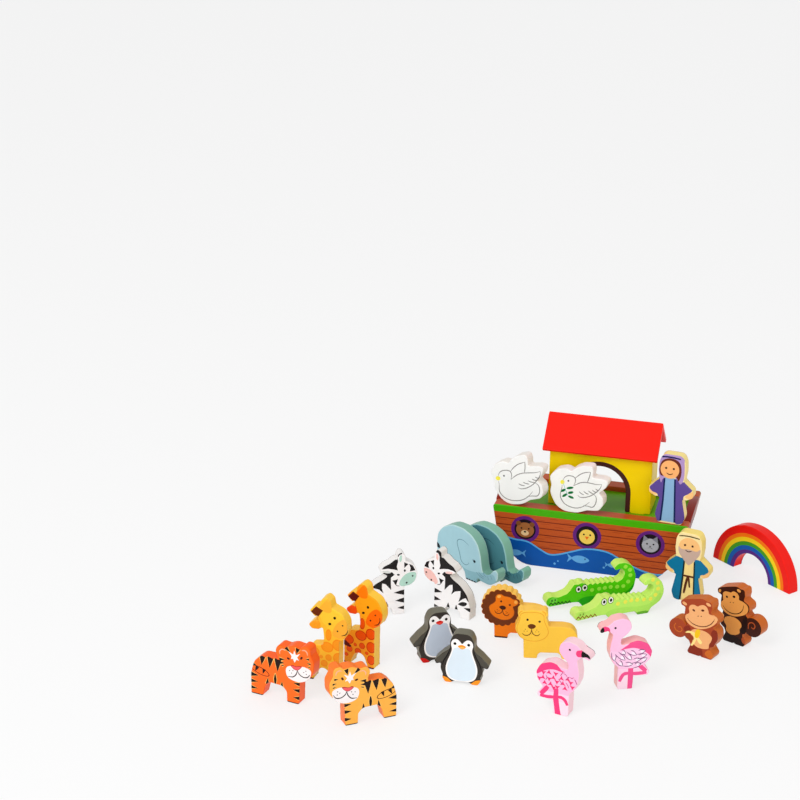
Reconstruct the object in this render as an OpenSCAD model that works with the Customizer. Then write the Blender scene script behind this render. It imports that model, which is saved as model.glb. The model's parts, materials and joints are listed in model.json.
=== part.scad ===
// Wooden toy ark with its crew, its pairs of animals and a rainbow.
// Millimetres. The origin is the middle of the hull's underside, on the table.
// +X runs along the hull to the right as seen from the painted front, which
// faces -Y, and +Z is up.

/* [Hull] */
// Length of the hull along its top edge
hull_len = 160; // [130:1:200]
// Width of the hull from the front face to the back face
hull_w = 75; // [66:1:100]
// Height of the hull's top edge above the table
hull_h = 50.5; // [44:0.5:64]
// Thickness of the shaped front and back boards, which is also the ledge that figures stand on
side_board_t = 12; // [11:0.5:15]
// Length of the flat that the hull rests on, measured to the keel corners
keel_len = 110; // [90:1:120]
// How far the bilge corner lies inside the end of the top edge
bilge_in = 5; // [2:0.5:10]
// Height of the bilge corner above the table
bilge_h = 21; // [16:0.5:28]
// Radius of the bilge corner
bilge_r = 30; // [10:1:40]
// Radius of the keel corner
keel_r = 20; // [8:1:30]
// Thickness of the bottom, bilge and end boards
shell_t = 7; // [5:0.5:9]
// Rise of the arched top of each end board above the hull's top edge
end_rise = 4; // [1:0.5:8]

/* [Deck] */
// Thickness of the deck board
deck_t = 5; // [3:0.5:7]
// Depth of the deck below the hull's top edge
deck_drop = 4; // [2:0.5:8]
// Side of the square battens under the deck
batten = 8; // [5:0.5:11]
// Length of the battens under the deck
batten_len = 112; // [80:1:120]

/* [House] */
// Length of the house along the hull
house_len = 84; // [70:1:94]
// Width of the house from its front face to its back face
house_w = 31.5; // [26:0.5:42]
// Height of the front and back walls above the deck
wall_h = 55; // [48:0.5:66]
// Thickness of the house walls
wall_t = 5; // [3:0.5:7]
// Distance of the house's middle to the right of the hull's middle
house_x = 3; // [-10:0.5:10]
// Distance of the house's middle behind the hull's middle
house_y = 2; // [0:0.5:4]
// Width of the archway through the front and back walls
arch_w = 43; // [30:1:48]
// Height of the top of the archway above the deck
arch_h = 37.5; // [28:0.5:42]
// Width of the tabs that key the walls into the deck
tab_w = 11; // [6:0.5:14]

/* [Roof] */
// Length of the roof along its ridge
roof_len = 93.5; // [88:0.5:110]
// Thickness of the roof panels
roof_t = 3.5; // [2.5:0.5:6]
// Slope of the roof panels in degrees
roof_pitch = 43; // [35:1:50]
// Distance of each eave outside the wall, measured level
eave_out = 9.4; // [5:0.1:12]

/* [Figures] */
// Thickness of the board that every figure is cut from
figure_t = 10; // [8:0.5:11]
// Height of the tigers
tiger_h = 47.8; // [40:0.1:52]
// Height of the giraffes
giraffe_h = 68.3; // [58:0.1:76]
// Height of the zebras
zebra_h = 52.8; // [45:0.1:60]
// Height of the penguins
penguin_h = 40.6; // [37:0.1:47]
// Height of the elephants
elephant_h = 43.1; // [37:0.1:48]
// Height of the lioness, and of the lion without its mane
lion_h = 40.3; // [36:0.1:44]
// Outer radius of the lion's mane
mane_r = 15.7; // [13:0.1:17]
// Number of tufts round the mane
mane_tufts = 19; // [12:1:26]
// Height of the dark crocodile, tail tip included
crocodile_h = 34.6; // [30:0.1:38]
// How much lower the light crocodile's tail hangs
tail_drop = 4.6; // [0:0.1:6]
// How much further back the light crocodile's tail reaches
tail_reach = 3.2; // [0:0.1:5]
// Number of bumps along a crocodile's back
croc_bumps = 6; // [4:1:8]
// Height of the patched flamingo
flamingo_h = 59.8; // [52:0.1:66]
// Size of the feathered flamingo as a share of the patched one's
small_share = 0.97; // [0.9:0.01:1]
// Height of the doves
dove_h = 42.2; // [36:0.1:45]
// Height of the robed man and woman
people_h = 59; // [52:0.1:62]
// Height of the monkeys
monkey_h = 48; // [42:0.1:53]
// Width of the brown monkey as a share of the other monkey's
slim_share = 0.9; // [0.85:0.01:1]
// Radius of the monkeys' curled tail
tail_r = 7.8; // [6:0.1:9]

/* [Rainbow] */
// Outer radius of the rainbow
rainbow_r = 43; // [36:0.5:46]
// Width of the rainbow's band from the outer to the inner arc
rainbow_band = 23.5; // [18:0.5:28]
// Distance of the arcs' centre below the table
rainbow_sink = 1; // [0:0.25:3]

/* [Fits] */
// Air left round a tab in its slot, and under a figure that stands on the ledge
fit = 0.2; // [0.1:0.05:0.3]
// Largest turn of a rounded corner that one straight facet covers, in degrees
facet_turn = 15; // [8:1:20]

/* [Hidden] */
$fn = 96;

deck_z = hull_h - deck_drop;
inner_w = hull_w - 2 * side_board_t;
house_front_y = house_y - house_w / 2;
house_back_y = house_y + house_w / 2;
tab_x = arch_w / 2 + (house_len - arch_w) / 4;
// Height of the roof's outer surface over the house's middle line
ridge_z = deck_z + wall_h + roof_t / cos(roof_pitch) + house_w / 2 * tan(roof_pitch);
eave_y = house_w / 2 + eave_out;
ledge_z = hull_h + fit;
// Slope of the hull's ends above the bilge corner, and below it
end_slope = bilge_in / (hull_h - bilge_h);
bilge_slope = (hull_len / 2 - bilge_in - keel_len / 2) / bilge_h;
// Where the bottom board meets the bilge boards, below the start of the keel corner
bottom_half = keel_len / 2 - keel_r / 2;
// Radius of the arched top of the end boards
end_arc_r = (inner_w * inner_w / 4 + end_rise * end_rise) / (2 * end_rise);
// Small roundings: the ends of the side boards, the bumps of a crocodile's back
top_round = 2;
bump_round = 1;
// Depth of the notches between the mane's tufts, and straight steps along each tuft
tuft_depth = 1.2;
tuft_steps = 6;

// Outlines. Every corner is [across, up, corner radius], in the order that a saw
// would follow, with the feet at height 0. The figures on the table look at -Y.
tiger_corners = [
    [-0.3, 0, 1.2], [9.4, 0, 1.2], [9.6, 8, 3], [13, 11.8, 4], [24.5, 12.2, 3], [27.3, 8, 6],
    [29.3, 0, 1.2], [38.8, 0, 1.2], [38.9, 17, 12], [36, 27, 9], [30, 32.3, 7],
    [17, 32.3, 1], [17, 35.5, 2], [18.9, 39.5, 4], [16.3, 44.4, 3.6], [9.8, 43.6, 1.2],
    [5, 46.2, 8], [-1.8, 45.4, 1.2], [-4, 47.8, 3], [-9.4, 47.2, 3.6], [-9.8, 41, 3],
    [-12.6, 36, 5], [-12.2, 27, 8], [-6.5, 20.4, 8], [-0.8, 17.4, 1]];
giraffe_corners = [
    [0, 0, 1], [5.2, 0, 1], [6.2, 3.5, 4], [9, 9, 3], [13, 11.3, 5], [17, 8.8, 4],
    [19.2, 3, 5], [20, 0, 1], [25.2, 0, 1], [25.4, 34.4, 1.5], [29.5, 37, 5], [31.8, 43, 6],
    [31.4, 50, 8], [27.5, 57, 7], [19.6, 60.4, 1.2], [18.6, 65.5, 2.5], [15.2, 68.3, 1.8],
    [11.6, 66, 2], [10, 59.8, 0.8], [6, 60.2, 1.5], [2.4, 55.8, 1.2], [6.8, 51.4, 1.2],
    [9, 53.2, 0.8], [9.2, 47.6, 0.8], [6, 48.4, 2], [1.2, 44.6, 1.6], [4.4, 41.6, 2],
    [9.4, 41.8, 2], [12.6, 44, 1], [13.6, 36, 8], [12.8, 29.5, 2], [3, 28, 4], [0, 21, 8]];
zebra_corners = [
    [0, 0, 0.8], [9, 0, 0.8], [10.2, 5.8, 2.5], [22.8, 5.8, 2.5], [24.2, 0, 0.8],
    [32.6, 0, 0.8], [32.9, 11, 9], [29.5, 20.5, 12], [23.5, 27, 12], [16.5, 30.8, 6],
    [13, 33.4, 1.2], [20, 37.4, 1.4], [16.5, 41.6, 3], [12, 43.6, 2], [7.6, 47, 1.5],
    [5.9, 46.6, 0.8], [5.4, 51, 1.8], [2.3, 52.8, 2], [-0.4, 49.5, 2], [-0.6, 45, 1],
    [-4, 43.6, 4], [-8, 40.6, 5], [-10.2, 34.5, 5], [-9, 27.8, 5], [-4, 24.2, 5],
    [0.2, 24, 1]];
// One half of a penguin, from the middle of its feet up to the crown
penguin_half = [
    [5.4, 1.6, 1.5], [8, 0, 1], [12.2, 0, 2], [14.3, 3.4, 2], [14.1, 6.2, 1], [16, 11, 6],
    [15.5, 15.2, 0.8], [19.2, 13.8, 1.2], [20.6, 17, 1.5], [14.5, 23.4, 4],
    [9.1, 27.6, 4], [9, 34, 6], [6.2, 40.6, 7]];
elephant_corners = [
    [-1, 0, 1], [10.4, 0, 1], [11.6, 5.6, 3], [15.2, 3.4, 3], [24.5, 2.8, 7], [30, 6.4, 5],
    [32.8, 11, 4], [32.8, 16, 2], [30, 18.2, 2], [27.4, 16.2, 2], [24.6, 12.4, 4],
    [20.6, 10.6, 3], [16.6, 11.8, 2], [15.2, 17, 6], [14, 24.5, 10], [11, 33.5, 14],
    [4, 40.2, 14], [-5.5, 43.1, 14], [-17, 43.1, 14], [-27, 37.8, 12], [-32.6, 31, 12],
    [-33.4, 21, 10], [-31.4, 0, 1], [-20, 0, 1], [-19, 7, 5], [-15, 10.5, 4],
    [-7, 10.5, 4], [-2.6, 6, 4]];
lion_body_corners = [
    [-0.3, 0, 1], [9.5, 0, 1], [10.2, 3.4, 2], [12, 4.9, 2], [25.4, 4.9, 3], [27.2, 3, 2],
    [28.2, 0, 1], [38.4, 0, 1], [39.2, 9, 8], [39.5, 19.5, 9], [35.6, 25.8, 7], [28, 27, 10],
    [4, 26.6, 4], [-1.2, 20, 4]];
lioness_head_corners = [
    [-3, 15.6, 6], [11, 15.2, 8], [19.4, 21.5, 7], [16.6, 31, 4], [15.6, 34, 1],
    [17.4, 37.4, 2.2], [14.8, 40, 2.4], [11.2, 39.2, 2], [5.5, 40.3, 6], [-0.5, 39.2, 2],
    [-3.6, 40.2, 2.2], [-6, 37.4, 2.2], [-4.6, 33.4, 1], [-5.4, 30, 4], [-7.8, 24.5, 5]];
croc_head_corners = [
    [4.6, 18, 1], [3.6, 20.2, 2.6], [0, 21, 2], [-3, 20, 2], [-6, 20.6, 2.6],
    [-9, 15.6, 4], [-11.5, 13, 4], [-19, 10.4, 8], [-24, 11.8, 3], [-27.8, 10.6, 3],
    [-28.8, 5.6, 3], [-25.6, 3.2, 2], [-7, 4.8, 6], [-1.6, 4.6, 2]];
croc_body_corners = [
    [2.4, 0, 1], [9.6, 0, 1], [11, 3.3, 2], [24, 3.3, 2], [26, 0, 1], [35, 0, 1],
    [37.4, 4.6, 3], [43.8, 11.6, 9], [45.6, 22, 10], [42.2, 31.4, 8], [36, 34.6, 7],
    [30, 34.4, 4], [26.8, 31, 1.6], [28, 28.6, 1.4], [33.4, 30, 3], [36.2, 26, 4],
    [34, 20.4, 4], [30.6, 18.9, 2]];
flamingo_corners = [
    [-1, 0, 0.8], [10.6, 0, 1.8], [10.8, 18.6, 2], [14.8, 22.6, 5], [17.4, 29, 6],
    [17.8, 36, 8], [15.8, 46.4, 2], [19.8, 50, 2], [26.2, 48.2, 1], [24.6, 52.4, 3],
    [19, 54.8, 3], [15.6, 58.2, 4], [9, 59.8, 7], [2.6, 57.4, 6], [1.4, 50.4, 5],
    [5, 46, 4], [9.4, 42.6, 5], [9.2, 37.2, 1.5], [3.4, 38.2, 5], [-4, 40.2, 7],
    [-12, 36.8, 6], [-15.2, 30.4, 2], [-14.2, 24.6, 5], [-9.6, 19.6, 1.5],
    [-14, 13.6, 1.6], [-12.6, 10.6, 1.4], [-1.6, 10.4, 0.8]];
dove_corners = [
    [2.6, 0, 16], [10.5, 3.4, 6], [20.4, 4.4, 5], [23.8, 9.6, 5], [23.8, 15.4, 4],
    [20.2, 19.4, 1.4], [25.7, 24.4, 5], [28.6, 30, 2.6], [23.1, 31.6, 5], [14.5, 31.6, 1.4],
    [15.6, 36.4, 5], [14.7, 41.2, 3], [6.6, 40.6, 6], [0.7, 37.8, 6], [-2.4, 34.8, 1.4],
    [-7.3, 36.8, 6], [-14.7, 34.6, 6], [-20.7, 28.4, 5], [-18.9, 21.6, 5],
    [-20.2, 14.6, 9], [-15.6, 4.8, 11], [-8.8, 0, 14]];
// Right half of a robed figure with its hands on its hips, from the hem up
robe_half = [
    [9.8, 0, 3], [12.2, 6.5, 6], [9, 22.4, 1.2], [12.8, 22, 3], [18.3, 25, 3],
    [17.9, 30.4, 3], [10, 37.2, 1.6], [11, 45, 6], [10.6, 53, 7], [7.8, 59, 6]];
monkey_corners = [
    [-2, 0, 1.8], [8.6, 0, 2], [9.8, 0.9, 1], [11, 0, 2], [19.6, 0, 2.2], [20.8, 4, 2.4],
    [18, 7.6, 2], [17.2, 10.4, 1], [19.8, 10.8, 2.6], [23.4, 18, 6], [22.6, 24.4, 5],
    [18.6, 27.2, 1.2], [22.8, 30.6, 4], [22, 35.6, 3], [16.4, 38, 1.4],
    [17.4, 42, 3], [16.6, 47, 3], [12.8, 46.8, 1], [9, 48, 6], [2, 45.9, 10],
    [-5.4, 43.4, 4], [-9.6, 41.4, 2.4], [-9, 37.8, 2], [-5.2, 37, 1.2],
    [-5.6, 32.6, 2], [-5.4, 26.8, 5],
    [-2.6, 24.4, 1.4], [-5, 18, 4], [-4.4, 12.6, 3], [-0.6, 10.6, 2], [1, 7.4, 2]];

// Where the middles of details lie in the drawings above
mane_at = [4.3, 25.2];
tail_at = [-10.3, 18];
far_tail_at = [23.8, 18.6];
croc_back_start = [29.4, 18.3];
croc_back_end = [5.4, 18.3];
croc_bump_rise = 1.8;

// Where each loose figure stands: [x, y, turn in degrees] of its drawing's corner
// at the foot, on the figure's front face
tiger_dark_at = [-159.3, -312.4, -11];
tiger_light_at = [-118, -332.4, 38];
giraffe_yellow_at = [-165.4, -272.8, -5];
giraffe_orange_at = [-146.3, -241, -13];
zebra_mint_nose_at = [-123.3, -151.7, 27];
zebra_pink_nose_at = [-103, -139.2, -18];
penguin_red_beak_at = [-78.5, -220.2, 32];
penguin_orange_beak_at = [-54.4, -249.4, 1.5];
elephant_near_at = [-91.1, -78.1, -29];
elephant_far_at = [-72.2, -70.8, -27];
lion_at = [-47, -170.2, 5];
lioness_at = [-18.5, -197.4, 12];
crocodile_dark_at = [6.5, -101.7, 30];
crocodile_light_at = [30.9, -117.5, 36];
flamingo_patched_at = [19.6, -274, -13];
flamingo_feathered_at = [66.3, -222.1, 25];
monkey_with_banana_at = [99.1, -154.3, -22];
monkey_brown_at = [122, -126, -25];
robed_man_at = [84.3, -68, -11];
rainbow_at = [128.5, -6.4, -38];
// The ledge figures are placed from the hull's ends and from the house, and stand
// the second distance behind the hull's front face
dove_plain_at = [21.9 - hull_len / 2, 0.9, -16];
dove_with_sprig_at = [house_x - 16.1, 0.6, -8];
robed_woman_at = [hull_len / 2 - 16.2, 1.5, -6];
// How far each dove rocks on its round belly, in degrees
dove_plain_rock = 14.5;
dove_with_sprig_rock = 2;

function unit(v) = v / norm(v);

// The arc that replaces corner b between its neighbours a and c
function rounded_corner(a, b, c) =
    let (p = [b[0], b[1]],
         to_a = unit([a[0], a[1]] - p),
         to_c = unit([c[0], c[1]] - p),
         half = acos(max(-1, min(1, to_a * to_c))) / 2,
         room = 0.49 * min(norm([a[0], a[1]] - p), norm([c[0], c[1]] - p)),
         reach = min(b[2] / tan(half), room),
         r = reach * tan(half),
         mid = p + unit(to_a + to_c) * (r / sin(half)),
         from = p + to_a * reach - mid,
         to = p + to_c * reach - mid,
         turn = (from[0] * to[1] - from[1] * to[0] > 0 ? 1 : -1) * (180 - 2 * half),
         start = atan2(from[1], from[0]),
         steps = max(1, ceil(abs(turn) / facet_turn)))
    [for (i = [0:steps]) mid + r * [cos(start + turn * i / steps), sin(start + turn * i / steps)]];

// A closed outline through rounded corners
function outline(corners) =
    let (n = len(corners))
    [for (i = [0:n - 1])
        each rounded_corner(corners[(i + n - 1) % n], corners[i], corners[(i + 1) % n])];

// The same corners drawn so that the highest one lies at the height asked for
function sized(corners, height) =
    corners * (height / max([for (c = corners) c[1]]));

// A half drawing completed by its mirror image
function both_halves(half) =
    concat(half, [for (i = [len(half) - 1:-1:0]) [-half[i][0], half[i][1], half[i][2]]]);

// An outline tipped by an angle and set down again at height 0
function rocked(points, angle) =
    let (tipped = [for (p = points) [p[0] * cos(angle) - p[1] * sin(angle),
                                     p[0] * sin(angle) + p[1] * cos(angle)]],
         low = min([for (p = tipped) p[1]]))
    [for (p = tipped) [p[0], p[1] - low]];

// Corners of a row of rounded bumps from one point to another
function bumps(from, to, count, rise) =
    [for (i = [0:count - 1], side = [0, 1])
        let (at = from + (to - from) * (i + side / 2) / count)
        [at[0], at[1] + side * rise, bump_round]];

// A wavy circle, one wave for each tuft
function tufted_ring(at, r, tufts, depth) =
    let (steps = tufts * tuft_steps)
    [for (i = [0:steps - 1])
        let (a = 360 * i / steps)
        at + (r - depth + depth * abs(sin(a * tufts / 2))) * [cos(a), sin(a)]];

// Stands a flat drawing up on the table, front face first, and turns it
module stand(at, height = 0) {
    translate([at[0], at[1], height])
        rotate([0, 0, at[2]])
            translate([0, figure_t, 0])
                rotate([90, 0, 0])
                    linear_extrude(figure_t)
                        children();
}

// The same on the ledge along the hull's front, a small distance behind its face
module stand_on_ledge(at) {
    stand([at[0], at[1] - hull_w / 2, at[2]], ledge_z) children();
}

// A board that lies across the hull, cut from a drawing in the XZ plane
module board_between(y0, y1) {
    translate([0, y1, 0])
        rotate([90, 0, 0])
            linear_extrude(y1 - y0)
                children();
}

// Corners of the hull's side, a distance inside the outer face of its shell
function hull_corners(inset, top) =
    let (// the two lines of one end, each shifted in by the inset
         end_x = hull_len / 2 - bilge_in - inset * norm([1, end_slope]),
         low_x = keel_len / 2 - inset * norm([1, bilge_slope]),
         // where they cross
         bz = (end_x - end_slope * bilge_h - low_x) / (bilge_slope - end_slope),
         bx = end_x + end_slope * (bz - bilge_h),
         kx = low_x + bilge_slope * inset,
         tx = end_x + end_slope * (top - bilge_h),
         right = [[kx, inset, max(keel_r - inset, 1)], [bx, bz, max(bilge_r - inset, 1)],
                  [tx, top, 0]])
    both_halves(right);

module hull_side_2d() {
    polygon(outline([for (c = hull_corners(0, hull_h))
                     c[1] == hull_h ? [c[0], c[1], top_round] : c]));
}

// The hull's shell in section, between the front and back boards
module hull_shell_2d(top) {
    difference() {
        polygon(outline(hull_corners(0, top)));
        polygon(outline(hull_corners(shell_t, top + 1)));
    }
}

// The part of the shell beyond the bottom board on one side, between two heights
module shell_part_2d(side, low_z, high_z) {
    intersection() {
        hull_shell_2d(hull_h + end_rise + 1);
        translate([side > 0 ? bottom_half : -hull_len, low_z])
            square([hull_len - bottom_half, high_z - low_z]);
    }
}

module hull_front() {
    color("sienna") board_between(-hull_w / 2, -hull_w / 2 + side_board_t) hull_side_2d();
}
module hull_back() {
    color("sienna") board_between(hull_w / 2 - side_board_t, hull_w / 2) hull_side_2d();
}
module hull_bottom() {
    color("sienna")
        translate([-bottom_half, -inner_w / 2, 0]) cube([2 * bottom_half, inner_w, shell_t]);
}
module bilge_board(side) {
    board_between(-inner_w / 2, inner_w / 2)
        shell_part_2d(side, 0, bilge_h);
}
module end_board(side) {
    intersection() {
        board_between(-inner_w / 2, inner_w / 2)
            shell_part_2d(side, bilge_h, hull_h + end_rise + 1);
        translate([-hull_len, 0, hull_h + end_rise - end_arc_r])
            rotate([0, 90, 0]) cylinder(r = end_arc_r, h = 2 * hull_len, $fn = 360);
    }
}
module bow_bilge_board() { color("sienna") bilge_board(1); }
module stern_bilge_board() { color("sienna") bilge_board(-1); }
module bow_board() { color("sienna") end_board(1); }
module stern_board() { color("sienna") end_board(-1); }

// Half length of the deck at a height, up to the inner face of the end boards
function deck_half(z) =
    hull_len / 2 - end_slope * (hull_h - z) - shell_t * norm([1, end_slope]);

module wall_tab_slots() {
    for (x = [-tab_x, tab_x], y = [house_front_y, house_back_y - wall_t])
        translate([house_x + x - tab_w / 2 - fit, y - fit, deck_z - deck_t - 1])
            cube([tab_w + 2 * fit, wall_t + 2 * fit, deck_t + 2]);
}

module deck() {
    low = deck_z - deck_t;
    color("forestgreen")
        difference() {
            board_between(-inner_w / 2, inner_w / 2)
                polygon([[-deck_half(low), low], [deck_half(low), low],
                         [deck_half(deck_z), deck_z], [-deck_half(deck_z), deck_z]]);
            wall_tab_slots();
        }
}
module deck_batten(y) {
    translate([-batten_len / 2, y, deck_z - deck_t - batten])
        cube([batten_len, batten, batten]);
}
module deck_batten_front() { color("burlywood") deck_batten(-inner_w / 2); }
module deck_batten_back() { color("burlywood") deck_batten(inner_w / 2 - batten); }

module archway_2d() {
    spring = arch_h - arch_w / 2;
    translate([-arch_w / 2, -1]) square([arch_w, spring + 1]);
    translate([0, spring]) circle(d = arch_w);
}

// A long wall of the house, with its archway and the tabs under it
module long_wall(y) {
    translate([house_x, 0, deck_z])
        board_between(y, y + wall_t)
            difference() {
                union() {
                    translate([-house_len / 2, 0]) square([house_len, wall_h]);
                    for (x = [-tab_x, tab_x])
                        translate([x - tab_w / 2, -deck_t]) square([tab_w, deck_t + 1]);
                }
                archway_2d();
            }
}
module house_front_wall() { color("gold") long_wall(house_front_y); }
module house_back_wall() { color("gold") long_wall(house_back_y - wall_t); }

// A gable between the long walls, whose top fits under both roof panels
module gable(x) {
    half = house_w / 2 - wall_t;
    under_ridge = ridge_z - roof_t / cos(roof_pitch) - deck_z;
    shoulder = under_ridge - half * tan(roof_pitch);
    translate([x, house_y, deck_z])
        rotate([90, 0, 90])
            linear_extrude(wall_t)
                polygon([[-half, 0], [half, 0], [half, shoulder],
                         [0, under_ridge], [-half, shoulder]]);
}
module house_bow_gable() { color("gold") gable(house_x + house_len / 2 - wall_t); }
module house_stern_gable() { color("gold") gable(house_x - house_len / 2); }

// A roof panel in section: upright where it meets its partner, square at the eave
module roof_panel(side) {
    run = [cos(roof_pitch), -sin(roof_pitch)];
    outer = [eave_y, ridge_z - eave_y * tan(roof_pitch)];
    under = outer - roof_t * [sin(roof_pitch), cos(roof_pitch)];
    translate([house_x - roof_len / 2, house_y, 0])
        rotate([90, 0, 90])
            linear_extrude(roof_len)
                scale([side, 1])
                    polygon([[0, ridge_z], [0, ridge_z - roof_t / run[0]], under, outer]);
}
module roof_front_panel() { color("red") roof_panel(-1); }
module roof_back_panel() { color("red") roof_panel(1); }

module figure_2d(corners, height) {
    polygon(outline(sized(corners, height)));
}

module tiger(at) { stand(at) figure_2d(tiger_corners, tiger_h); }
module tiger_dark() {
    color("orangered") stand(tiger_dark_at) mirror([1, 0]) figure_2d(tiger_corners, tiger_h);
}
module tiger_light() { color("orange") tiger(tiger_light_at); }

module giraffe(at) { stand(at) figure_2d(giraffe_corners, giraffe_h); }
module giraffe_yellow() { color("khaki") giraffe(giraffe_yellow_at); }
module giraffe_orange() { color("goldenrod") giraffe(giraffe_orange_at); }

module zebra_mint_nose() {
    color("white") stand(zebra_mint_nose_at) mirror([1, 0]) figure_2d(zebra_corners, zebra_h);
}
module zebra_pink_nose() {
    color("white") stand(zebra_pink_nose_at) figure_2d(zebra_corners, zebra_h);
}

module penguin(at) { stand(at) figure_2d(both_halves(penguin_half), penguin_h); }
module penguin_red_beak() { color("dimgray") penguin(penguin_red_beak_at); }
module penguin_orange_beak() { color("dimgray") penguin(penguin_orange_beak_at); }

module elephant(at) { stand(at) figure_2d(elephant_corners, elephant_h); }
module elephant_near() { color("lightblue") elephant(elephant_near_at); }
module elephant_far() { color("cadetblue") elephant(elephant_far_at); }

// Lions share one body; its drawing is as high as the lioness's head
function lion_scale() = lion_h / max([for (c = lioness_head_corners) c[1]]);
module lion_body_2d() { polygon(outline(lion_body_corners * lion_scale())); }
module lion() {
    color("darkorange")
        stand(lion_at) {
            lion_body_2d();
            polygon(tufted_ring(mane_at * lion_scale(), mane_r, mane_tufts, tuft_depth));
        }
}
module lioness() {
    color("gold")
        stand(lioness_at) {
            lion_body_2d();
            figure_2d(lioness_head_corners, lion_h);
        }
}

// The row of bumps joins the tail's root to the back of the head
function croc_corners() =
    concat(croc_body_corners, bumps(croc_back_start, croc_back_end, croc_bumps, croc_bump_rise),
           croc_head_corners);
// The same corners with the tail moved: a corner moves more the further it lies from
// the jaw and from the feet
function light_croc_corners() =
    [for (c = croc_corners())
        let (share = max(0, min(1, (c[0] + 14) / 40)) * max(0, min(1, (c[1] - 4) / 14)))
        [c[0] + share * tail_reach, c[1] - share * tail_drop, c[2]]];
module crocodile_dark() {
    color("green") stand(crocodile_dark_at) figure_2d(croc_corners(), crocodile_h);
}
module crocodile_light() {
    color("yellowgreen") stand(crocodile_light_at)
        figure_2d(light_croc_corners(), crocodile_h - tail_drop);
}

module flamingo_patched() {
    color("pink") stand(flamingo_patched_at) figure_2d(flamingo_corners, flamingo_h);
}
module flamingo_feathered() {
    color("pink") stand(flamingo_feathered_at)
        mirror([1, 0]) figure_2d(flamingo_corners * small_share, flamingo_h * small_share);
}

module dove(at, rock) {
    stand_on_ledge(at) polygon(rocked(outline(sized(dove_corners, dove_h)), rock));
}
module dove_plain() { color("white") dove(dove_plain_at, dove_plain_rock); }
module dove_with_sprig() { color("white") dove(dove_with_sprig_at, dove_with_sprig_rock); }

module monkey(at, curl_at, width_share = 1) {
    drawn_h = max([for (c = monkey_corners) c[1]]);
    stand(at) {
        figure_2d([for (c = monkey_corners) [c[0] * width_share, c[1], c[2]]], monkey_h);
        translate(curl_at * (monkey_h / drawn_h)) circle(r = tail_r);
    }
}
module monkey_with_banana() { color("peru") monkey(monkey_with_banana_at, tail_at); }
module monkey_brown() { color("saddlebrown") monkey(monkey_brown_at, far_tail_at, slim_share); }

module robed_figure_2d() { figure_2d(both_halves(robe_half), people_h); }
module robed_man() { color("teal") stand(robed_man_at) robed_figure_2d(); }
module robed_woman() { color("rebeccapurple") stand_on_ledge(robed_woman_at) robed_figure_2d(); }

module rainbow() {
    color("red")
        stand(rainbow_at)
            intersection() {
                translate([0, -rainbow_sink])
                    difference() {
                        circle(r = rainbow_r, $fn = 180);
                        circle(r = rainbow_r - rainbow_band, $fn = 180);
                    }
                translate([-rainbow_r, 0]) square([2 * rainbow_r, rainbow_r]);
            }
}

hull_front();
hull_back();
hull_bottom();
bow_bilge_board();
stern_bilge_board();
bow_board();
stern_board();
deck();
deck_batten_front();
deck_batten_back();
house_front_wall();
house_back_wall();
house_bow_gable();
house_stern_gable();
roof_front_panel();
roof_back_panel();
tiger_dark();
tiger_light();
giraffe_yellow();
giraffe_orange();
zebra_mint_nose();
zebra_pink_nose();
penguin_red_beak();
penguin_orange_beak();
elephant_near();
elephant_far();
lion();
lioness();
crocodile_dark();
crocodile_light();
flamingo_patched();
flamingo_feathered();
dove_plain();
dove_with_sprig();
monkey_with_banana();
monkey_brown();
robed_man();
robed_woman();
rainbow();
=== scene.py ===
# %% [markdown]
# # A wooden ark with its animals
# The set is sawn from boards: a hull and a house for the ark, and 23 flat figures. This lesson
# dresses the CAD model of it, which is already at its real size and in its place, so no board
# is moved here. The boards get softened edges and gloss paint, and then their printed drawings.

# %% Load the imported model
import json
import math
import bpy
from mathutils import Matrix, Vector


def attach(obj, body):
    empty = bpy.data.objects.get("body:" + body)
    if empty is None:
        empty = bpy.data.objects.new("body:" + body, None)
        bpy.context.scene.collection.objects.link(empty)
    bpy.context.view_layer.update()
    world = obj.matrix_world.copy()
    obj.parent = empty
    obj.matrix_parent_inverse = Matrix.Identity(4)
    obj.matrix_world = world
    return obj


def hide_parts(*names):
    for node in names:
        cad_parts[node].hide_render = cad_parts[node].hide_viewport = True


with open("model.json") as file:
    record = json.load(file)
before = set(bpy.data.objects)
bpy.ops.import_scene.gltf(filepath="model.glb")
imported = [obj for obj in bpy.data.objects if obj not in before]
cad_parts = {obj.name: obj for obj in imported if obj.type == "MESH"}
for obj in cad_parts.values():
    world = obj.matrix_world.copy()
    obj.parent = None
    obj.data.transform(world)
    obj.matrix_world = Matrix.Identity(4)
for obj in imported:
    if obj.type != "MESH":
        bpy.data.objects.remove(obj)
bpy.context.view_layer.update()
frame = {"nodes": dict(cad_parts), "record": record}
MM = 0.001


# %% [markdown]
# ## Camera
# The picture was taken from a little to the right and about 21 degrees above the table, through
# a long lens. The camera aims at a point on the table, and then rolls by less than a degree.

# %% Place the camera
CAMERA_AT = Vector((0.2607, -1.6346, 0.7720))
AIM_AT = Vector((-0.2459, 0.2927, 0.0))
ROLL = math.radians(0.734)
SENSOR_WIDTH = 36.0
FOCAL_LENGTH = 98.6


def add_camera():
    data = bpy.data.cameras.new("camera")
    data.sensor_width = SENSOR_WIDTH
    data.lens = FOCAL_LENGTH
    camera = bpy.data.objects.new("camera", data)
    bpy.context.collection.objects.link(camera)
    turn = (AIM_AT - CAMERA_AT).to_track_quat("-Z", "Y").to_matrix().to_4x4()
    camera.matrix_world = Matrix.Translation(CAMERA_AT) @ turn @ Matrix.Rotation(ROLL, 4, "Z")
    bpy.context.scene.camera = camera
    return camera


print("camera", [round(x, 3) for x in add_camera().location])


# %% [markdown]
# ## Writing shaders as sums
# A finish is a small tree of nodes. `Wire` wraps one socket, and Python's operators on it add
# Math nodes, so a blend of three noises is written as a plain sum. `Finish` starts a material
# and adds any other node: its settings are set first, then the values or wires of its sockets.

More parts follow.
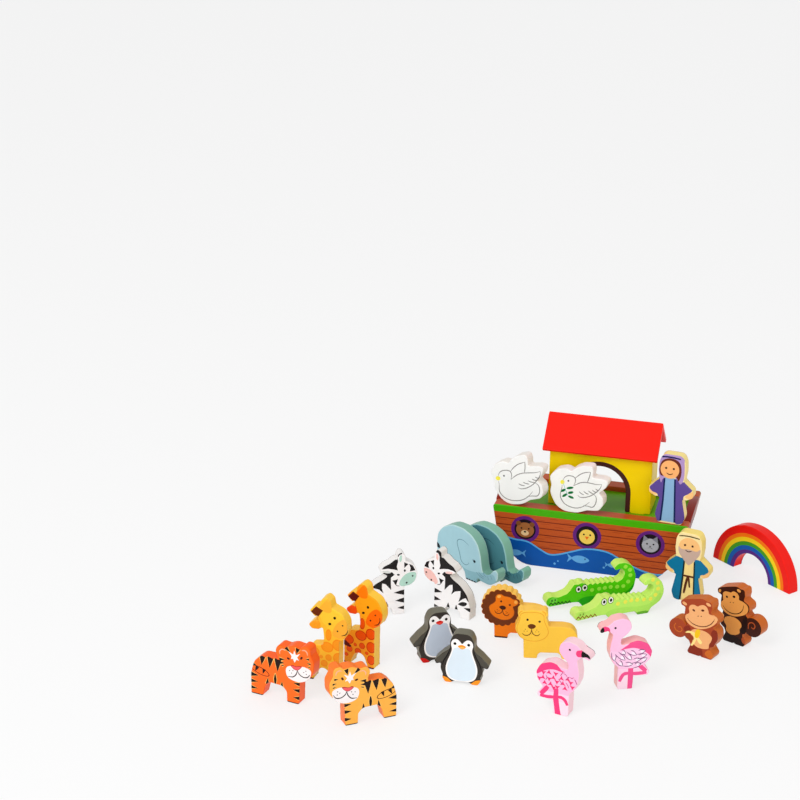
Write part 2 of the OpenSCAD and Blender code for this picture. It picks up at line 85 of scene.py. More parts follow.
# %% Two small classes for shader trees
class Wire:
    def __init__(self, tree, socket):
        self.tree = tree
        self.socket = socket

    def math(self, operation, first, second=0.0):
        node = self.tree.nodes.new("ShaderNodeMath")
        node.operation = operation
        for slot, value in zip(node.inputs, (first, second)):
            connect(self.tree, value, slot)
        return Wire(self.tree, node.outputs[0])

    def __add__(self, other):
        return self.math("ADD", self, other)

    def __sub__(self, other):
        return self.math("SUBTRACT", self, other)

    def __rsub__(self, other):
        return self.math("SUBTRACT", other, self)

    def __mul__(self, other):
        return self.math("MULTIPLY", self, other)

    __radd__ = __add__
    __rmul__ = __mul__


def connect(tree, value, slot):
    if isinstance(value, Wire):
        tree.links.new(value.socket, slot)
    else:
        slot.default_value = value


class Finish:
    def __init__(self, name):
        self.material = bpy.data.materials.new(name)
        self.material.use_nodes = True
        self.tree = self.material.node_tree
        self.shader = self.tree.nodes["Principled BSDF"]

    def node(self, kind, settings, inputs, output=0):
        node = self.tree.nodes.new("ShaderNode" + kind)
        for name, value in settings.items():
            setattr(node, name, value)
        for name, value in inputs.items():
            connect(self.tree, value, node.inputs[name])
        return Wire(self.tree, node.outputs[output])

    def surface(self, **inputs):
        for name, value in inputs.items():
            connect(self.tree, value, self.shader.inputs[name.replace("_", " ")])


def linear(colour):
    """The screen colour that the eye reads, as the linear values that a shader takes."""
    part = [c / 12.92 if c <= 0.04045 else ((c + 0.055) / 1.055) ** 2.4 for c in colour]
    return (*part, 1.0)


print("shader classes ready")


# %% [markdown]
# ## Gloss paint on wood
# Every board is sprayed with a thick satin gloss paint. It is even, but never quite: the colour
# wanders a little, the surface has a fine orange peel, and the grain of the board still shows
# as very shallow streaks. Only colour, roughness and the bump change over the surface. The gloss
# is low, because a broad white sky would otherwise veil the deep colours.

# %% The paint
DRIFT_SCALE = 55.0
SPECK_SCALE = 1500.0
PEEL_SCALE = 900.0
GRAIN_SCALE = 260.0
LIGHTEST = 1.03
DARKEST = 0.95
ACROSS_GRAIN = (1.0, 1.0, 0.06)
BUMP = {"Strength": 0.35, "Distance": 0.0001}
GLOSS = {"Specular_IOR_Level": 0.12, "Coat_Weight": 0.05, "Coat_Roughness": 0.12}
PAINTS = {}


def paint(name, colour, grain=ACROSS_GRAIN, roughness=0.34, grain_depth=0.25):
    """A paint of a screen colour. It is made once, and each later call gets the same one."""
    if name in PAINTS:
        return PAINTS[name]
    finish = Finish(name)
    here = finish.node("TexCoord", {}, {}, output="Object")
    drift = finish.node("TexNoise", {}, {"Vector": here, "Scale": DRIFT_SCALE, "Detail": 3.0})
    speck = finish.node("TexNoise", {}, {"Vector": here, "Scale": SPECK_SCALE, "Detail": 1.0})
    along = finish.node("Mapping", {}, {"Vector": here, "Scale": grain})
    streaks = finish.node("TexNoise", {}, {"Vector": along, "Scale": GRAIN_SCALE, "Detail": 4.0})
    peel = finish.node("TexNoise", {}, {"Vector": here, "Scale": PEEL_SCALE, "Detail": 2.0})
    tone = drift * 0.5 + streaks * 0.3 + speck * 0.2
    light, dark = (tuple(min(1.0, c * f) for c in colour) for f in (LIGHTEST, DARKEST))
    mixed = finish.node("Mix", {"data_type": "RGBA"},
                        {"Factor": tone, 6: linear(light), 7: linear(dark)}, output=2)
    bump = finish.node("Bump", {}, {"Height": peel * 0.35 + streaks * grain_depth, **BUMP})
    finish.surface(Base_Color=mixed, Roughness=drift * 0.12 + speck * 0.05 + roughness - 0.08,
                   Normal=bump, **GLOSS)
    PAINTS[name] = finish.material
    return finish.material


print("first paint:", paint("roof_red", (1.0, 0.11, 0.05)).name)


# %% [markdown]
# ## Table and light
# The set stands on a plain white table that runs on behind it. A broad soft lamp above on the
# left gives short, soft shadows, and a weaker one in front on the right lifts the shaded sides.
# An even white sky does the rest. The camera sees table and sky a little brighter than they
# light the set, which keeps them pale without more light on the paint.

# %% Floor, lamps and sky
TABLE_SIZE = 14.0
TABLE_WHITE = (0.86, 0.86, 0.86, 1.0)
TABLE_GLOW = 0.68
SKY_LIGHT = 0.74
SKY_SEEN = 0.89
LAMPS = [("key_lamp", (-0.7, -1.8, 1.7), (0.0, -0.1, 0.0), 1.1, 20.0),
         ("fill_lamp", (0.9, -2.2, 0.8), (0.0, -0.1, 0.06), 1.4, 10.0)]


def add_floor():
    bpy.ops.object.select_all(action="DESELECT")
    bpy.ops.mesh.primitive_plane_add(size=TABLE_SIZE, location=(0.0, 2.0, 0.0))
    floor = bpy.context.object
    floor.name = "floor"
    white = Finish("white_table")
    ray = white.node("LightPath", {}, {}, output="Is Camera Ray")
    gloss = white.node("LightPath", {}, {}, output="Is Glossy Ray")
    white.surface(Base_Color=TABLE_WHITE, Roughness=0.6)
    glow = white.node("Emission", {}, {"Color": (1.0, 1.0, 1.0, 1.0), "Strength": 1.0})
    body = Wire(white.tree, white.shader.outputs[0])
    mix = white.node("MixShader", {}, {0: (ray + gloss) * TABLE_GLOW, 1: body, 2: glow})
    out = white.tree.nodes["Material Output"]
    white.tree.links.new(mix.socket, out.inputs["Surface"])
    floor.data.materials.append(white.material)
    return floor


def add_lamp(name, place, aim, size, watts):
    data = bpy.data.lights.new(name, "AREA")
    data.shape = "DISK"
    data.size = size
    data.energy = watts
    lamp = bpy.data.objects.new(name, data)
    bpy.context.collection.objects.link(lamp)
    lamp.location = place
    lamp.rotation_euler = (Vector(aim) - Vector(place)).to_track_quat("-Z", "Y").to_euler()
    return lamp


def add_sky(strength, seen_strength):
    world = bpy.data.worlds.new("sky")
    world.use_nodes = True
    tree = world.node_tree
    background = tree.nodes["Background"]
    background.inputs["Color"].default_value = (1.0, 1.0, 1.0, 1.0)
    ray = Wire(tree, tree.nodes.new("ShaderNodeLightPath").outputs["Is Camera Ray"])
    connect(tree, ray * (seen_strength - strength) + strength, background.inputs["Strength"])
    bpy.context.scene.world = world


add_floor()
for lamp in LAMPS:
    add_lamp(*lamp)
add_sky(SKY_LIGHT, SKY_SEEN)
bpy.context.scene.view_settings.view_transform = "Standard"
print("table,", len(LAMPS), "lamps and sky")


# %% [markdown]
# ## From node to board
# A sawn and sanded board has no sharp edge. Each CAD node is copied, its loose triangles are
# merged into whole faces, and a bevel takes 0.7 mm off every edge. The flat front and back get
# the face paint, and the sawn side gets its own. Where a third paint is given, it goes on the
# bevel between them as a painted highlight along the soft edge. The copy then stands for the node.

# %% Copy a node as a board with soft edges
EDGE = 0.7 * MM
SHARP_FROM = math.radians(50.0)
SMOOTH_UP_TO = math.radians(20.0)
FLAT_FROM = 0.9
BEVEL_FROM, BEVEL_TO = 0.3, 0.97
BODY_OF = {}
for body_name, nodes in frame["record"]["behaviour"]["bodies"].items():
    BODY_OF.update({node: body_name for node in nodes})


def select_only(*pieces):
    bpy.ops.object.select_all(action="DESELECT")
    for piece in pieces:
        piece.select_set(True)
    bpy.context.view_layer.objects.active = pieces[0]


def apply_modifier(piece, kind, **settings):
    select_only(piece)
    modifier = piece.modifiers.new(kind.lower(), kind)
    for name, value in settings.items():
        setattr(modifier, name, value)
    bpy.ops.object.modifier_apply(modifier=modifier.name)


def sawn_copy(node, name):
    source = frame["nodes"][node]
    board = bpy.data.objects.new(name, source.data.copy())
    bpy.context.collection.objects.link(board)
    board.data.materials.clear()
    select_only(board)
    bpy.ops.object.mode_set(mode="EDIT")
    bpy.ops.mesh.select_all(action="SELECT")
    bpy.ops.mesh.remove_doubles(threshold=0.01 * MM)
    bpy.ops.mesh.dissolve_limited(angle_limit=math.radians(1.0))
    bpy.ops.object.mode_set(mode="OBJECT")
    return board


def front_normal(board):
    faces = [face for face in board.data.polygons if face.normal.y < -0.5]
    return max(faces, key=lambda face: face.area).normal.copy()


def make_board(node, face_paint, side_paint, bevel_highlight_paint=None, normal=None):
    """`straight` is 1 on the board's flat faces, 0 on its sawn side, and between on a bevel."""
    board = sawn_copy(node, node + "_board")
    normal = normal or front_normal(board)
    apply_modifier(board, "BEVEL", width=EDGE, segments=2, limit_method="ANGLE",
                   angle_limit=SHARP_FROM)
    board.data.materials.append(face_paint)
    board.data.materials.append(side_paint)
    # A third paint, where given, is a painted highlight along the bevels.
    if bevel_highlight_paint:
        board.data.materials.append(bevel_highlight_paint)
    for face in board.data.polygons:
        straight = abs(face.normal.dot(normal))
        if bevel_highlight_paint and BEVEL_FROM < straight < BEVEL_TO:
            face.material_index = 2
        else:
            face.material_index = 0 if straight > FLAT_FROM else 1
    select_only(board)
    bpy.ops.object.shade_smooth_by_angle(angle=SMOOTH_UP_TO)
    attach(board, BODY_OF[node])
    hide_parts(node)
    return board


print(len(BODY_OF), "nodes to dress")


# %% [markdown]
# ## The ark
# The ark is one glued body. Its hull is a shell of brown boards, with a green deck laid inside
# on two bare battens, and a yellow house under a red roof. The grain runs along the hull, so the
# paints of its long boards stretch their streaks that way.

# %% Ark boards
ALONG = (0.06, 1.0, 1.0)
TOWARDS_VIEWER = Vector((0.0, -1.0, 0.0))
HULL_BROWN = paint("hull_brown", (0.74, 0.32, 0.13), grain=ALONG)
END_BROWN = paint("hull_end_brown", (0.56, 0.12, 0.03))
DECK_GREEN = paint("deck_green", (0.38, 0.68, 0.03), grain=ALONG)
WALL_YELLOW = paint("wall_yellow", (0.99, 0.85, 0.01), grain=ALONG)
ROOF_RED = paint("roof_red", (1.0, 0.11, 0.05))
BATTEN_WOOD = paint("batten_wood", (0.84, 0.70, 0.50), grain=(0.05, 1.0, 1.0),
                    roughness=0.6, grain_depth=1.0)

ARK_PAINTS = {"hull": HULL_BROWN, "bow": END_BROWN, "stern": END_BROWN, "deck": DECK_GREEN,
              "house": WALL_YELLOW, "roof": ROOF_RED}
ARK = {}
for node in frame["record"]["behaviour"]["bodies"]["ark"]:
    coat = BATTEN_WOOD if "batten" in node else ARK_PAINTS[node.split("_")[0]]
    ARK[node] = make_board(node, coat, coat, normal=TOWARDS_VIEWER)
print(len(ARK), "ark boards")


# %% [markdown]
# ## The figures
# A figure's two faces are printed on a coat of its main colour, and its sawn side has a tone of
# its own. The elephants have a third, pale tone all along their bevels, which is a painted
# highlight on the soft edge. Colours are written as the eye reads them on the toy, first the
# face, then the side, then the painted highlight of the edge.

# %% Figure boards
FIGURE_COATS = {
    "tiger_dark": ((1.0, 0.42, 0.12), (1.0, 0.38, 0.06)),
    "tiger_light": ((1.0, 0.69, 0.28), (1.0, 0.48, 0.14)),
    "giraffe_yellow": ((1.0, 0.76, 0.20), (1.0, 0.78, 0.25)),
    "giraffe_orange": ((0.97, 0.62, 0.12), (1.0, 0.78, 0.24)),
    "zebra_mint_nose": ((0.97, 0.97, 0.97), (0.93, 0.92, 0.91)),
    "zebra_pink_nose": ((0.97, 0.97, 0.97), (0.90, 0.89, 0.87)),
    "penguin_red_beak": ((0.21, 0.19, 0.17), (0.42, 0.41, 0.35)),
    "penguin_orange_beak": ((0.21, 0.19, 0.17), (0.42, 0.41, 0.35)),
    # Each elephant's third colour is a painted highlight for its bevels.
    "elephant_near": ((0.64, 0.80, 0.84), (0.50, 0.69, 0.62), (0.72, 0.85, 0.85)),
    "elephant_far": ((0.29, 0.51, 0.55), (0.50, 0.71, 0.63), (0.55, 0.74, 0.74)),
    "lion": ((0.92, 0.47, 0.04), (0.98, 0.77, 0.32)),
    "lioness": ((0.99, 0.79, 0.26), (0.99, 0.77, 0.30)),
    "crocodile_dark": ((0.32, 0.80, 0.03), (0.79, 0.93, 0.42)),
    "crocodile_light": ((0.74, 0.95, 0.40), (0.80, 0.94, 0.44)),
    "flamingo_patched": ((1.0, 0.72, 0.85), (0.99, 0.82, 0.85)),
    "flamingo_feathered": ((1.0, 0.76, 0.88), (0.99, 0.73, 0.73)),
    "dove_plain": ((0.96, 0.96, 0.95), (0.94, 0.92, 0.89)),
    "dove_with_sprig": ((0.96, 0.96, 0.95), (0.97, 0.94, 0.93)),
    "monkey_with_banana": ((0.64, 0.26, 0.13), (0.78, 0.40, 0.14)),
    "monkey_brown": ((0.23, 0.09, 0.05), (0.78, 0.39, 0.12)),
    "robed_man": ((0.98, 0.89, 0.65), (0.98, 0.87, 0.48)),
    "robed_woman": ((0.98, 0.89, 0.65), (0.98, 0.88, 0.55)),
    "rainbow": ((0.94, 0.10, 0.06), (0.94, 0.10, 0.06)),
}
FIGURES = {}
for node, colours in FIGURE_COATS.items():
    # A third colour makes the _edge paint, which is a painted highlight on the bevels.
    coats = [paint(node + place, colour)
             for place, colour in zip(("_face", "_side", "_edge"), colours)]
    FIGURES[node] = make_board(node, *coats)
print(len(FIGURES), "figure boards")


# %% [markdown]
# ## Drawings on the boards
# The drawings are printed on the boards in flat inks. Each ink is modelled as a very thin skin
# of paint: closed outlines are drawn as a flat curve, the curve is thickened into a stamp that
# reaches through the board's face, and a Boolean keeps what the stamp shares with a copy of the
# board that is swollen by a few hundredths of a millimetre. So the ink follows the soft edge and
# ends where the board ends. Each later ink lies 0.02 mm above the one before, so even the last
# of the hull's many inks stands only 0.3 mm proud.

# %% Outlines in millimetres, across and up
def oval(x, z, wide, high=None, tilt=0.0, steps=28):
    """An oval by its middle and its two half widths. With one half width it is round."""
    high = wide if high is None else high
    c, s = math.cos(math.radians(tilt)), math.sin(math.radians(tilt))
    turns = [math.tau * i / steps for i in range(steps)]
    return [(x + wide * math.cos(a) * c - high * math.sin(a) * s,
             z + wide * math.cos(a) * s + high * math.sin(a) * c) for a in turns]


def smooth(points, closed, steps=6):
    """A curve through all the points, which leaves each one towards the next but one."""
    points = [Vector(p) for p in points]
    count = len(points)
    path = []
    for i in range(count if closed else count - 1):
        near = [i - 1, i, i + 1, i + 2]
        p = [points[k % count] if closed else points[min(max(k, 0), count - 1)] for k in near]
        for t in [s / steps for s in range(steps)]:
            path.append(0.5 * (2 * p[1] + (p[2] - p[0]) * t
                               + (2 * p[0] - 5 * p[1] + 4 * p[2] - p[3]) * t ** 2
                               + (3 * p[1] - p[0] - 3 * p[2] + p[3]) * t ** 3))
    if not closed:
        path.append(points[-1])
    return [tuple(p) for p in path]


def patch(*points):
    return smooth(points, closed=True)


def corners(*points):
    return list(points)


def bar(left, low, right, high):
    return corners((left, low), (right, low), (right, high), (left, high))


def line(width, *points, tip=0.35):
    """A brush stroke along the points, full in its middle and thinner at both ends."""
    path = [Vector(p) for p in smooth(points, closed=False)]
    left, right = [], []
    for i, p in enumerate(path):
        along = (path[min(i + 1, len(path) - 1)] - path[max(i - 1, 0)]).normalized()
        share = i / (len(path) - 1)
        half = width / 2 * (tip + (1 - tip) * min(1.0, 4 * share, 4 * (1 - share)))
        left.append(tuple(p + Vector((-along.y, along.x)) * half))
        right.append(tuple(p - Vector((-along.y, along.x)) * half))
    return left + right[::-1]


def wedge(base, tip, width):
    """A stripe that starts broad at its base and runs out to a point."""
    base, tip = Vector(base), Vector(tip)
    across = (tip - base).orthogonal().normalized() * width / 2
    middle = base.lerp(tip, 0.45)
    return [tuple(base - across), tuple(middle - across * 0.62), tuple(tip),
            tuple(middle + across * 0.62), tuple(base + across)]


def spindle(start, end, width):
    """A leaf with its ends at `start` and `end`, widest in the middle."""
    start, end = Vector(start), Vector(end)
    across = (end - start).orthogonal().normalized() * width / 2
    mid = start.lerp(end, 0.5)
    return smooth([start, mid + across, end, mid - across], closed=True)


print("an oval has", len(oval(0.0, 0.0, 1.0)), "points")


# %% [markdown]
# ## Where a drawing lies
# A drawing is written from the corner that the board was drawn from: 0 is at its feet. `Sheet`
# finds that corner on the board itself, from the direction of its front face and from its left
# end, so a drawing follows its board. A mirrored board takes the same drawing turned over.

# %% Find a board's drawing corner
class Sheet:
    def __init__(self, board, left, mirrored=False, lean=0.0, normal=None):
        self.normal = normal or front_normal(board)
        across = Vector((-self.normal.y, self.normal.x, 0.0))
        tilt = Matrix.Rotation(math.radians(lean), 3, self.normal)
        self.across = tilt @ across
        self.up = tilt @ Vector((0.0, 0.0, 1.0))
        points = [v.co for v in board.data.vertices]
        reach = [p.dot(self.across) for p in points]
        depth = [p.dot(self.normal) for p in points]
        self.flip = -1.0 if mirrored else 1.0
        corner = max(reach) + left * MM if mirrored else min(reach) - left * MM
        self.thick = max(depth) - min(depth)
        self.corner = (self.across * corner + self.up * min(p.dot(self.up) for p in points)
                       + self.normal * max(depth))

    def matrix(self, depth):
        turn = Matrix((self.across, self.up, self.normal)).transposed().to_4x4()
        return Matrix.Translation(self.corner - self.normal * depth) @ turn


print("the lion is", round(Sheet(FIGURES["lion"], 0.0).thick / MM, 1), "mm thick")


# %% [markdown]
# ## Printing
# A curve fills an outline that lies inside another as a hole, and crossing outlines spoil the
# fill. So outlines that lie apart share one flat curve, and each group of them is one stamp. The
# stamp is 1.3 mm thick and reaches 0.75 mm into the board, past its bevelled edge. A figure is
# printed on both faces, and a board of the ark on its outer face alone.

# %% Stamp, skin and print
STAMP = 1.3 * MM
REACH = 0.75 * MM
FIRST_COAT = 0.03 * MM
NEXT_COAT = 0.02 * MM
SAME_COAT = 0.002 * MM


def lie_apart(shapes):
    """Sorts outlines into groups whose boxes don't touch."""
    groups = []
    for shape in shapes:
        loops = shape if isinstance(shape[0], list) else [shape]
        xs = [p[0] for loop in loops for p in loop]
        zs = [p[1] for loop in loops for p in loop]
        box = (min(xs), min(zs), max(xs), max(zs))
        for group in groups:
            if all(box[0] > b[2] or b[0] > box[2] or box[1] > b[3] or b[1] > box[3]
                   for b in group["boxes"]):
                break
        else:
            group = {"boxes": [], "loops": []}
            groups.append(group)
        group["boxes"].append(box)
        group["loops"].extend(loops)
    return [group["loops"] for group in groups]


def flat_curve(loops, flip):
    """One flat filled curve of all the outlines, as thick as the stamp."""
    data = bpy.data.curves.new("stamp", "CURVE")
    data.dimensions = "2D"
    data.fill_mode = "BOTH"
    data.extrude = STAMP / 2
    for loop in loops:
        spline = data.splines.new("POLY")
        spline.points.add(len(loop) - 1)
        for point, (x, z) in zip(spline.points, loop):
            point.co = (flip * x * MM, z * MM, 0.0, 1.0)
        spline.use_cyclic_u = True
    curve = bpy.data.objects.new("stamp", data)
    bpy.context.collection.objects.link(curve)
    return curve


def make_stamp(sheet, loops, both_faces):
    """A stamp laid through the board's front face, with a second one through its back."""
    select_only(flat_curve(loops, sheet.flip))
    bpy.ops.object.convert(target="MESH")
    stamp = bpy.context.object
    bpy.ops.object.mode_set(mode="EDIT")
    bpy.ops.mesh.select_all(action="SELECT")
    bpy.ops.mesh.remove_doubles(threshold=0.001 * MM)
    if both_faces:
        bpy.ops.mesh.duplicate()
        step = 2 * REACH - STAMP - sheet.thick
        bpy.ops.transform.translate(value=(0.0, 0.0, step))
    bpy.ops.object.mode_set(mode="OBJECT")
    stamp.matrix_world = sheet.matrix(REACH - STAMP / 2)
    bpy.ops.object.transform_apply(location=True, rotation=True, scale=True)
    return stamp


def swollen_copy(board, by):
    """A copy of the board that is fatter all round by the height of an ink."""
    copy = bpy.data.objects.new("skin", board.data.copy())
    bpy.context.collection.objects.link(copy)
    select_only(copy)
    bpy.ops.object.mode_set(mode="EDIT")
    bpy.ops.mesh.select_all(action="SELECT")
    bpy.ops.transform.shrink_fatten(value=by)
    bpy.ops.object.mode_set(mode="OBJECT")
    return copy


def print_drawing(node, board, sheet, layers, both_faces=True):
    """Each layer is an ink's name, its colour and its outlines. Later layers lie on top."""
    inks = []
    for level, (name, colour, shapes) in enumerate(layers):
        for group, loops in enumerate(lie_apart(shapes)):
            stamp = make_stamp(sheet, loops, both_faces)
            skin = swollen_copy(board, FIRST_COAT + level * NEXT_COAT + group * SAME_COAT)
            apply_modifier(stamp, "BOOLEAN", operation="INTERSECT", solver="MANIFOLD", object=skin)
            bpy.data.objects.remove(skin)
            stamp.data.materials.clear()
            stamp.data.materials.append(paint(name, colour))
            inks.append(stamp)
    select_only(*inks)
    if len(inks) > 1:
        bpy.ops.object.join()
    drawing = bpy.context.object
    drawing.name = node + "_print"
    bpy.ops.object.shade_smooth_by_angle(angle=SMOOTH_UP_TO)
    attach(drawing, BODY_OF[node])
    print(drawing.name, len(layers), "inks,", len(drawing.data.polygons), "faces")
    return drawing


def print_figure(node, layers, left, mirrored=False, lean=0.0):
    """`left` is the furthest left that the sawn outline reaches, in the drawing's millimetres."""
    board = FIGURES[node]
    return print_drawing(node, board, Sheet(board, left, mirrored, lean), layers)


BLACK = (0.13, 0.07, 0.05)
EYE_BLACK = (0.06, 0.05, 0.05)
WHITE = (0.97, 0.96, 0.95)
print("coats from", FIRST_COAT / MM, "mm, each", NEXT_COAT / MM, "mm above the last")


# %% [markdown]
# ## Tigers
# Both tigers carry one drawing: black wedges with a thin pale edge along the back and the legs,
# a tail curled against the flank, and a broad white muzzle under a small red nose. The dark
# tiger is turned over, so its board and its drawing are mirrored.

# %% Draw and print the tigers
def tiger_drawing(tone, coat, edge):
    back = [((16.5, 32.4), (16.8, 22.4), 5.6), ((22.6, 32.2), (23.3, 24.0), 5.0),
            ((29.1, 32.0), (29.8, 24.8), 4.8)]
    legs = [((-1.6, 16.4), (4.2, 16.8), 3.0), ((-1.6, 11.2), (4.4, 11.2), 3.4),
            ((-1.6, 5.2), (4.4, 5.0), 3.4), ((40.2, 15.6), (32.2, 15.8), 4.2),
            ((40.2, 10.2), (32.8, 10.6), 3.4), ((40.2, 5.0), (33.0, 5.0), 3.2),
            ((13.4, 10.4), (13.2, 15.6), 2.8), ((25.3, 10.4), (24.6, 16.2), 2.6),
            ((37.8, 24.4), (34.2, 23.6), 2.6)]
    face = [((0.2, 45.0), (1.3, 40.4), 3.4), ((10.0, 43.6), (5.8, 40.0), 3.0),
            ((-8.8, 38.4), (-5.8, 38.2), 1.8), ((-10.0, 34.8), (-7.0, 35.2), 1.6),
            ((-9.8, 32.0), (-6.8, 32.6), 1.0), ((15.2, 33.2), (10.4, 33.8), 2.4),
            ((15.4, 30.4), (10.8, 31.0), 2.4), ((13.4, 28.2), (10.8, 29.2), 1.0)]
    stripes = back + legs + face
    tail = oval(31.0, 19.9, 7.2, 2.4, 16)
    nose = [(-3.0, 31.2), (-0.8, 31.3), (2.0, 30.4), (4.4, 30.8), (5.8, 29.9), (3.8, 28.0),
            (1.4, 27.4), (-1.0, 28.6)]
    muzzle = patch((-10.3, 29.3), (-5.5, 31.4), (-1.5, 30.8), (1.2, 29.4), (4.0, 30.2),
                   (8.6, 28.6), (10.0, 25.2), (8.8, 21.0), (5.5, 18.9), (0.0, 18.3),
                   (-5.4, 19.8), (-9.2, 23.4))
    star = corners((-1.6, 41.2), (1.7, 39.4), (3.0, 42.8), (4.0, 39.4), (7.8, 41.2), (5.2, 37.8),
                   (5.8, 35.4), (4.2, 36.0), (2.8, 33.2), (1.2, 36.0), (-0.8, 35.6), (0.8, 37.8))
    mouth = [line(0.75, (0.6, 27.8), (-0.6, 25.2), (-3.8, 23.3), (-7.4, 23.8), (-9.7, 26.6)),
             line(0.75, (0.6, 27.8), (1.6, 24.2), (4.2, 21.5), (8.4, 21.0))]
    freckles = [oval(x, z, 0.38) for x, z in ((-6.3, 28.6), (-4.6, 27.2), (-6.6, 26.2),
                                              (4.2, 26.5), (6.9, 26.0), (5.3, 24.3))]
    ears = [line(0.8, (-7.6, 41.4), (-7.2, 43.6), (-5.4, 44.8), (-3.0, 44.2)),
            line(0.8, (10.2, 41.2), (12.8, 41.6), (14.8, 39.8), (14.8, 37.4))]
    return [
        ("tiger_edge", edge, [wedge(b, t, w + 1.1) for b, t, w in stripes]
         + [spindle((18.8, 10.8), (18.7, 21.0), 3.0)]),
        ("tiger_black", BLACK, [wedge(b, t, w) for b, t, w in stripes]
         + [spindle((18.8, 11.2), (18.7, 20.3), 2.2), oval(31.0, 19.9, 7.8, 2.9, 16),
            bar(-1.5, -1.0, 10.5, 1.0), bar(28.0, -1.0, 40.0, 1.0)]),
        ("tiger_coat_" + tone, coat, [tail]),
        ("tiger_muzzle_white", (0.96, 0.93, 0.93), [muzzle, star]),
        ("tiger_ear_pink", (0.99, 0.70, 0.58), ears),
        ("tiger_ink", BLACK, mouth + freckles
         + [wedge((27.7, 22.0), (28.9, 17.8), 2.8), wedge((33.2, 22.8), (35.2, 18.6), 3.0)]),
        ("tiger_eye", (0.26, 0.10, 0.06), [oval(-2.7, 38.1, 0.8, 1.35, 30),
                                           oval(7.9, 35.3, 1.25, 0.75, 12)]),
        ("tiger_nose_dark", (0.62, 0.10, 0.12), [patch(*nose)]),
        ("tiger_nose_red", (0.93, 0.36, 0.38),
         [patch(*[(1.4 + (x - 1.4) * 0.88, 29.2 + (z - 29.2) * 0.78) for x, z in nose])]),
    ]


TIGER_LEFT = -12.54
STRIPE_EDGE = (1.0, 0.78, 0.42)
TIGERS = {"tiger_dark": ("dark", True), "tiger_light": ("light", False)}
for node, (name, mirrored) in TIGERS.items():
    layers = tiger_drawing(name, FIGURE_COATS[node][0], STRIPE_EDGE)
    print_figure(node, layers, TIGER_LEFT, mirrored)


# %% [markdown]
# ## Giraffes
# A giraffe is covered with round spots of several sizes, each with a paler rim. Its head has two
# ears, a square horn, a big soft muzzle and a smile to one side. The yellow giraffe is printed a
# little higher and further to the right than the orange one, which is its `slip`.

# %% Draw and print the giraffes
def moved(shape, slip):
    return [(x + slip[0], z + slip[1]) for x, z in shape]


def giraffe_drawing(tone, spot, rim, face, muzzle, ear, upper_ear, horn, slip):
    spots = [(14.4, 25.6, 4.8, 4.2), (4.6, 20.2, 3.8, 3.8), (22.6, 28.6, 4.2, 4.6),
             (9.6, 17.0, 1.4, 1.4), (15.4, 17.3, 2.5, 2.6), (23.0, 17.8, 4.0, 4.6),
             (4.8, 12.4, 2.6, 2.6), (12.0, 12.0, 2.7, 2.7), (19.4, 12.2, 1.5, 1.4),
             (23.0, 7.4, 3.2, 4.0), (2.2, 7.3, 1.6, 1.5), (15.4, 35.6, 2.3, 4.6)]
    head = patch((9.0, 50.6), (12.6, 56.4), (18.6, 60.6), (26.0, 58.6), (31.6, 52.0),
                 (33.0, 43.0), (30.0, 36.6), (25.6, 35.0), (19.4, 38.2), (13.8, 42.4),
                 (10.4, 46.0))
    return [
        ("giraffe_rim_" + tone, rim, [moved(oval(x, z, a, b), slip) for x, z, a, b in spots]),
        ("giraffe_spot_" + tone, spot,
         [moved(oval(x, z, a * 0.82, b * 0.82), slip) for x, z, a, b in spots]),
        ("giraffe_face_" + tone, face, [moved(head, slip)]),
        ("giraffe_ear_" + tone, ear, [
            patch((2.2, 44.8), (4.6, 41.6), (8.6, 41.2), (11.0, 44.4), (9.6, 49.0), (5.2, 48.2))]),
        ("giraffe_upper_ear_" + tone, upper_ear, [
            patch((10.8, 59.4), (12.8, 63.0), (17.4, 67.8), (19.2, 63.6), (19.4, 57.6),
                  (14.4, 56.6))]),
        ("giraffe_muzzle_" + tone, muzzle, [moved(
            patch((18.6, 37.0), (19.6, 41.8), (22.6, 46.8), (27.2, 50.2), (31.0, 48.4),
                  (32.2, 43.4), (30.6, 37.2), (26.6, 34.6), (21.4, 34.9)), slip)]),
        ("giraffe_brown_" + tone, horn, [
            corners((3.5, 55.2), (7.6, 60.0), (13.0, 57.6), (9.0, 51.7)),
            corners((-1.0, 18.4), (2.0, 18.4), (6.5, 15.0), (5.4, 13.9), (1.6, 14.4),
                    (-1.0, 15.4)),
            corners((-1, -1), (6.4, -1), (6.0, 1.3), (-1, 1.3)),
            corners((18.5, -1), (27, -1), (27, 1.3), (19.0, 1.3))]),
        ("giraffe_ink", BLACK, [moved(shape, slip) for shape in (
            oval(20.2, 50.2, 1.0, 1.1), oval(16.4, 44.8, 1.2, 0.95, 20),
            oval(26.4, 45.2, 0.6), oval(22.4, 40.0, 0.65),
            line(0.7, (25.6, 36.9), (28.6, 38.2), (30.2, 41.0), (30.1, 44.0)))]),
    ]


GIRAFFES = {
    "giraffe_yellow": giraffe_drawing("yellow", (0.98, 0.62, 0.13), (0.97, 0.56, 0.09),
                                      (0.99, 0.80, 0.22), (0.98, 0.70, 0.22),
                                      (0.98, 0.64, 0.14), (0.99, 0.70, 0.20),
                                      (0.40, 0.16, 0.04), (1.9, 3.0)),
    "giraffe_orange": giraffe_drawing("orange", (0.93, 0.33, 0.03), (0.80, 0.22, 0.02),
                                      (0.97, 0.64, 0.08), (0.98, 0.42, 0.02),
                                      (0.93, 0.30, 0.02), (1.0, 0.48, 0.02),
                                      (0.36, 0.06, 0.03), (0.0, 0.0)),
}
GIRAFFE_LEFT = 0.0
for node, layers in GIRAFFES.items():
    print_figure(node, layers, GIRAFFE_LEFT)


# %% [markdown]
# ## Zebras
# The zebras are left white. A black mane runs from the ear down the back as one edge with long
# points that reach into the flank, and short wedges mark the chest and the legs. One has a mint
# nose and one a pink nose, and the first is turned over.

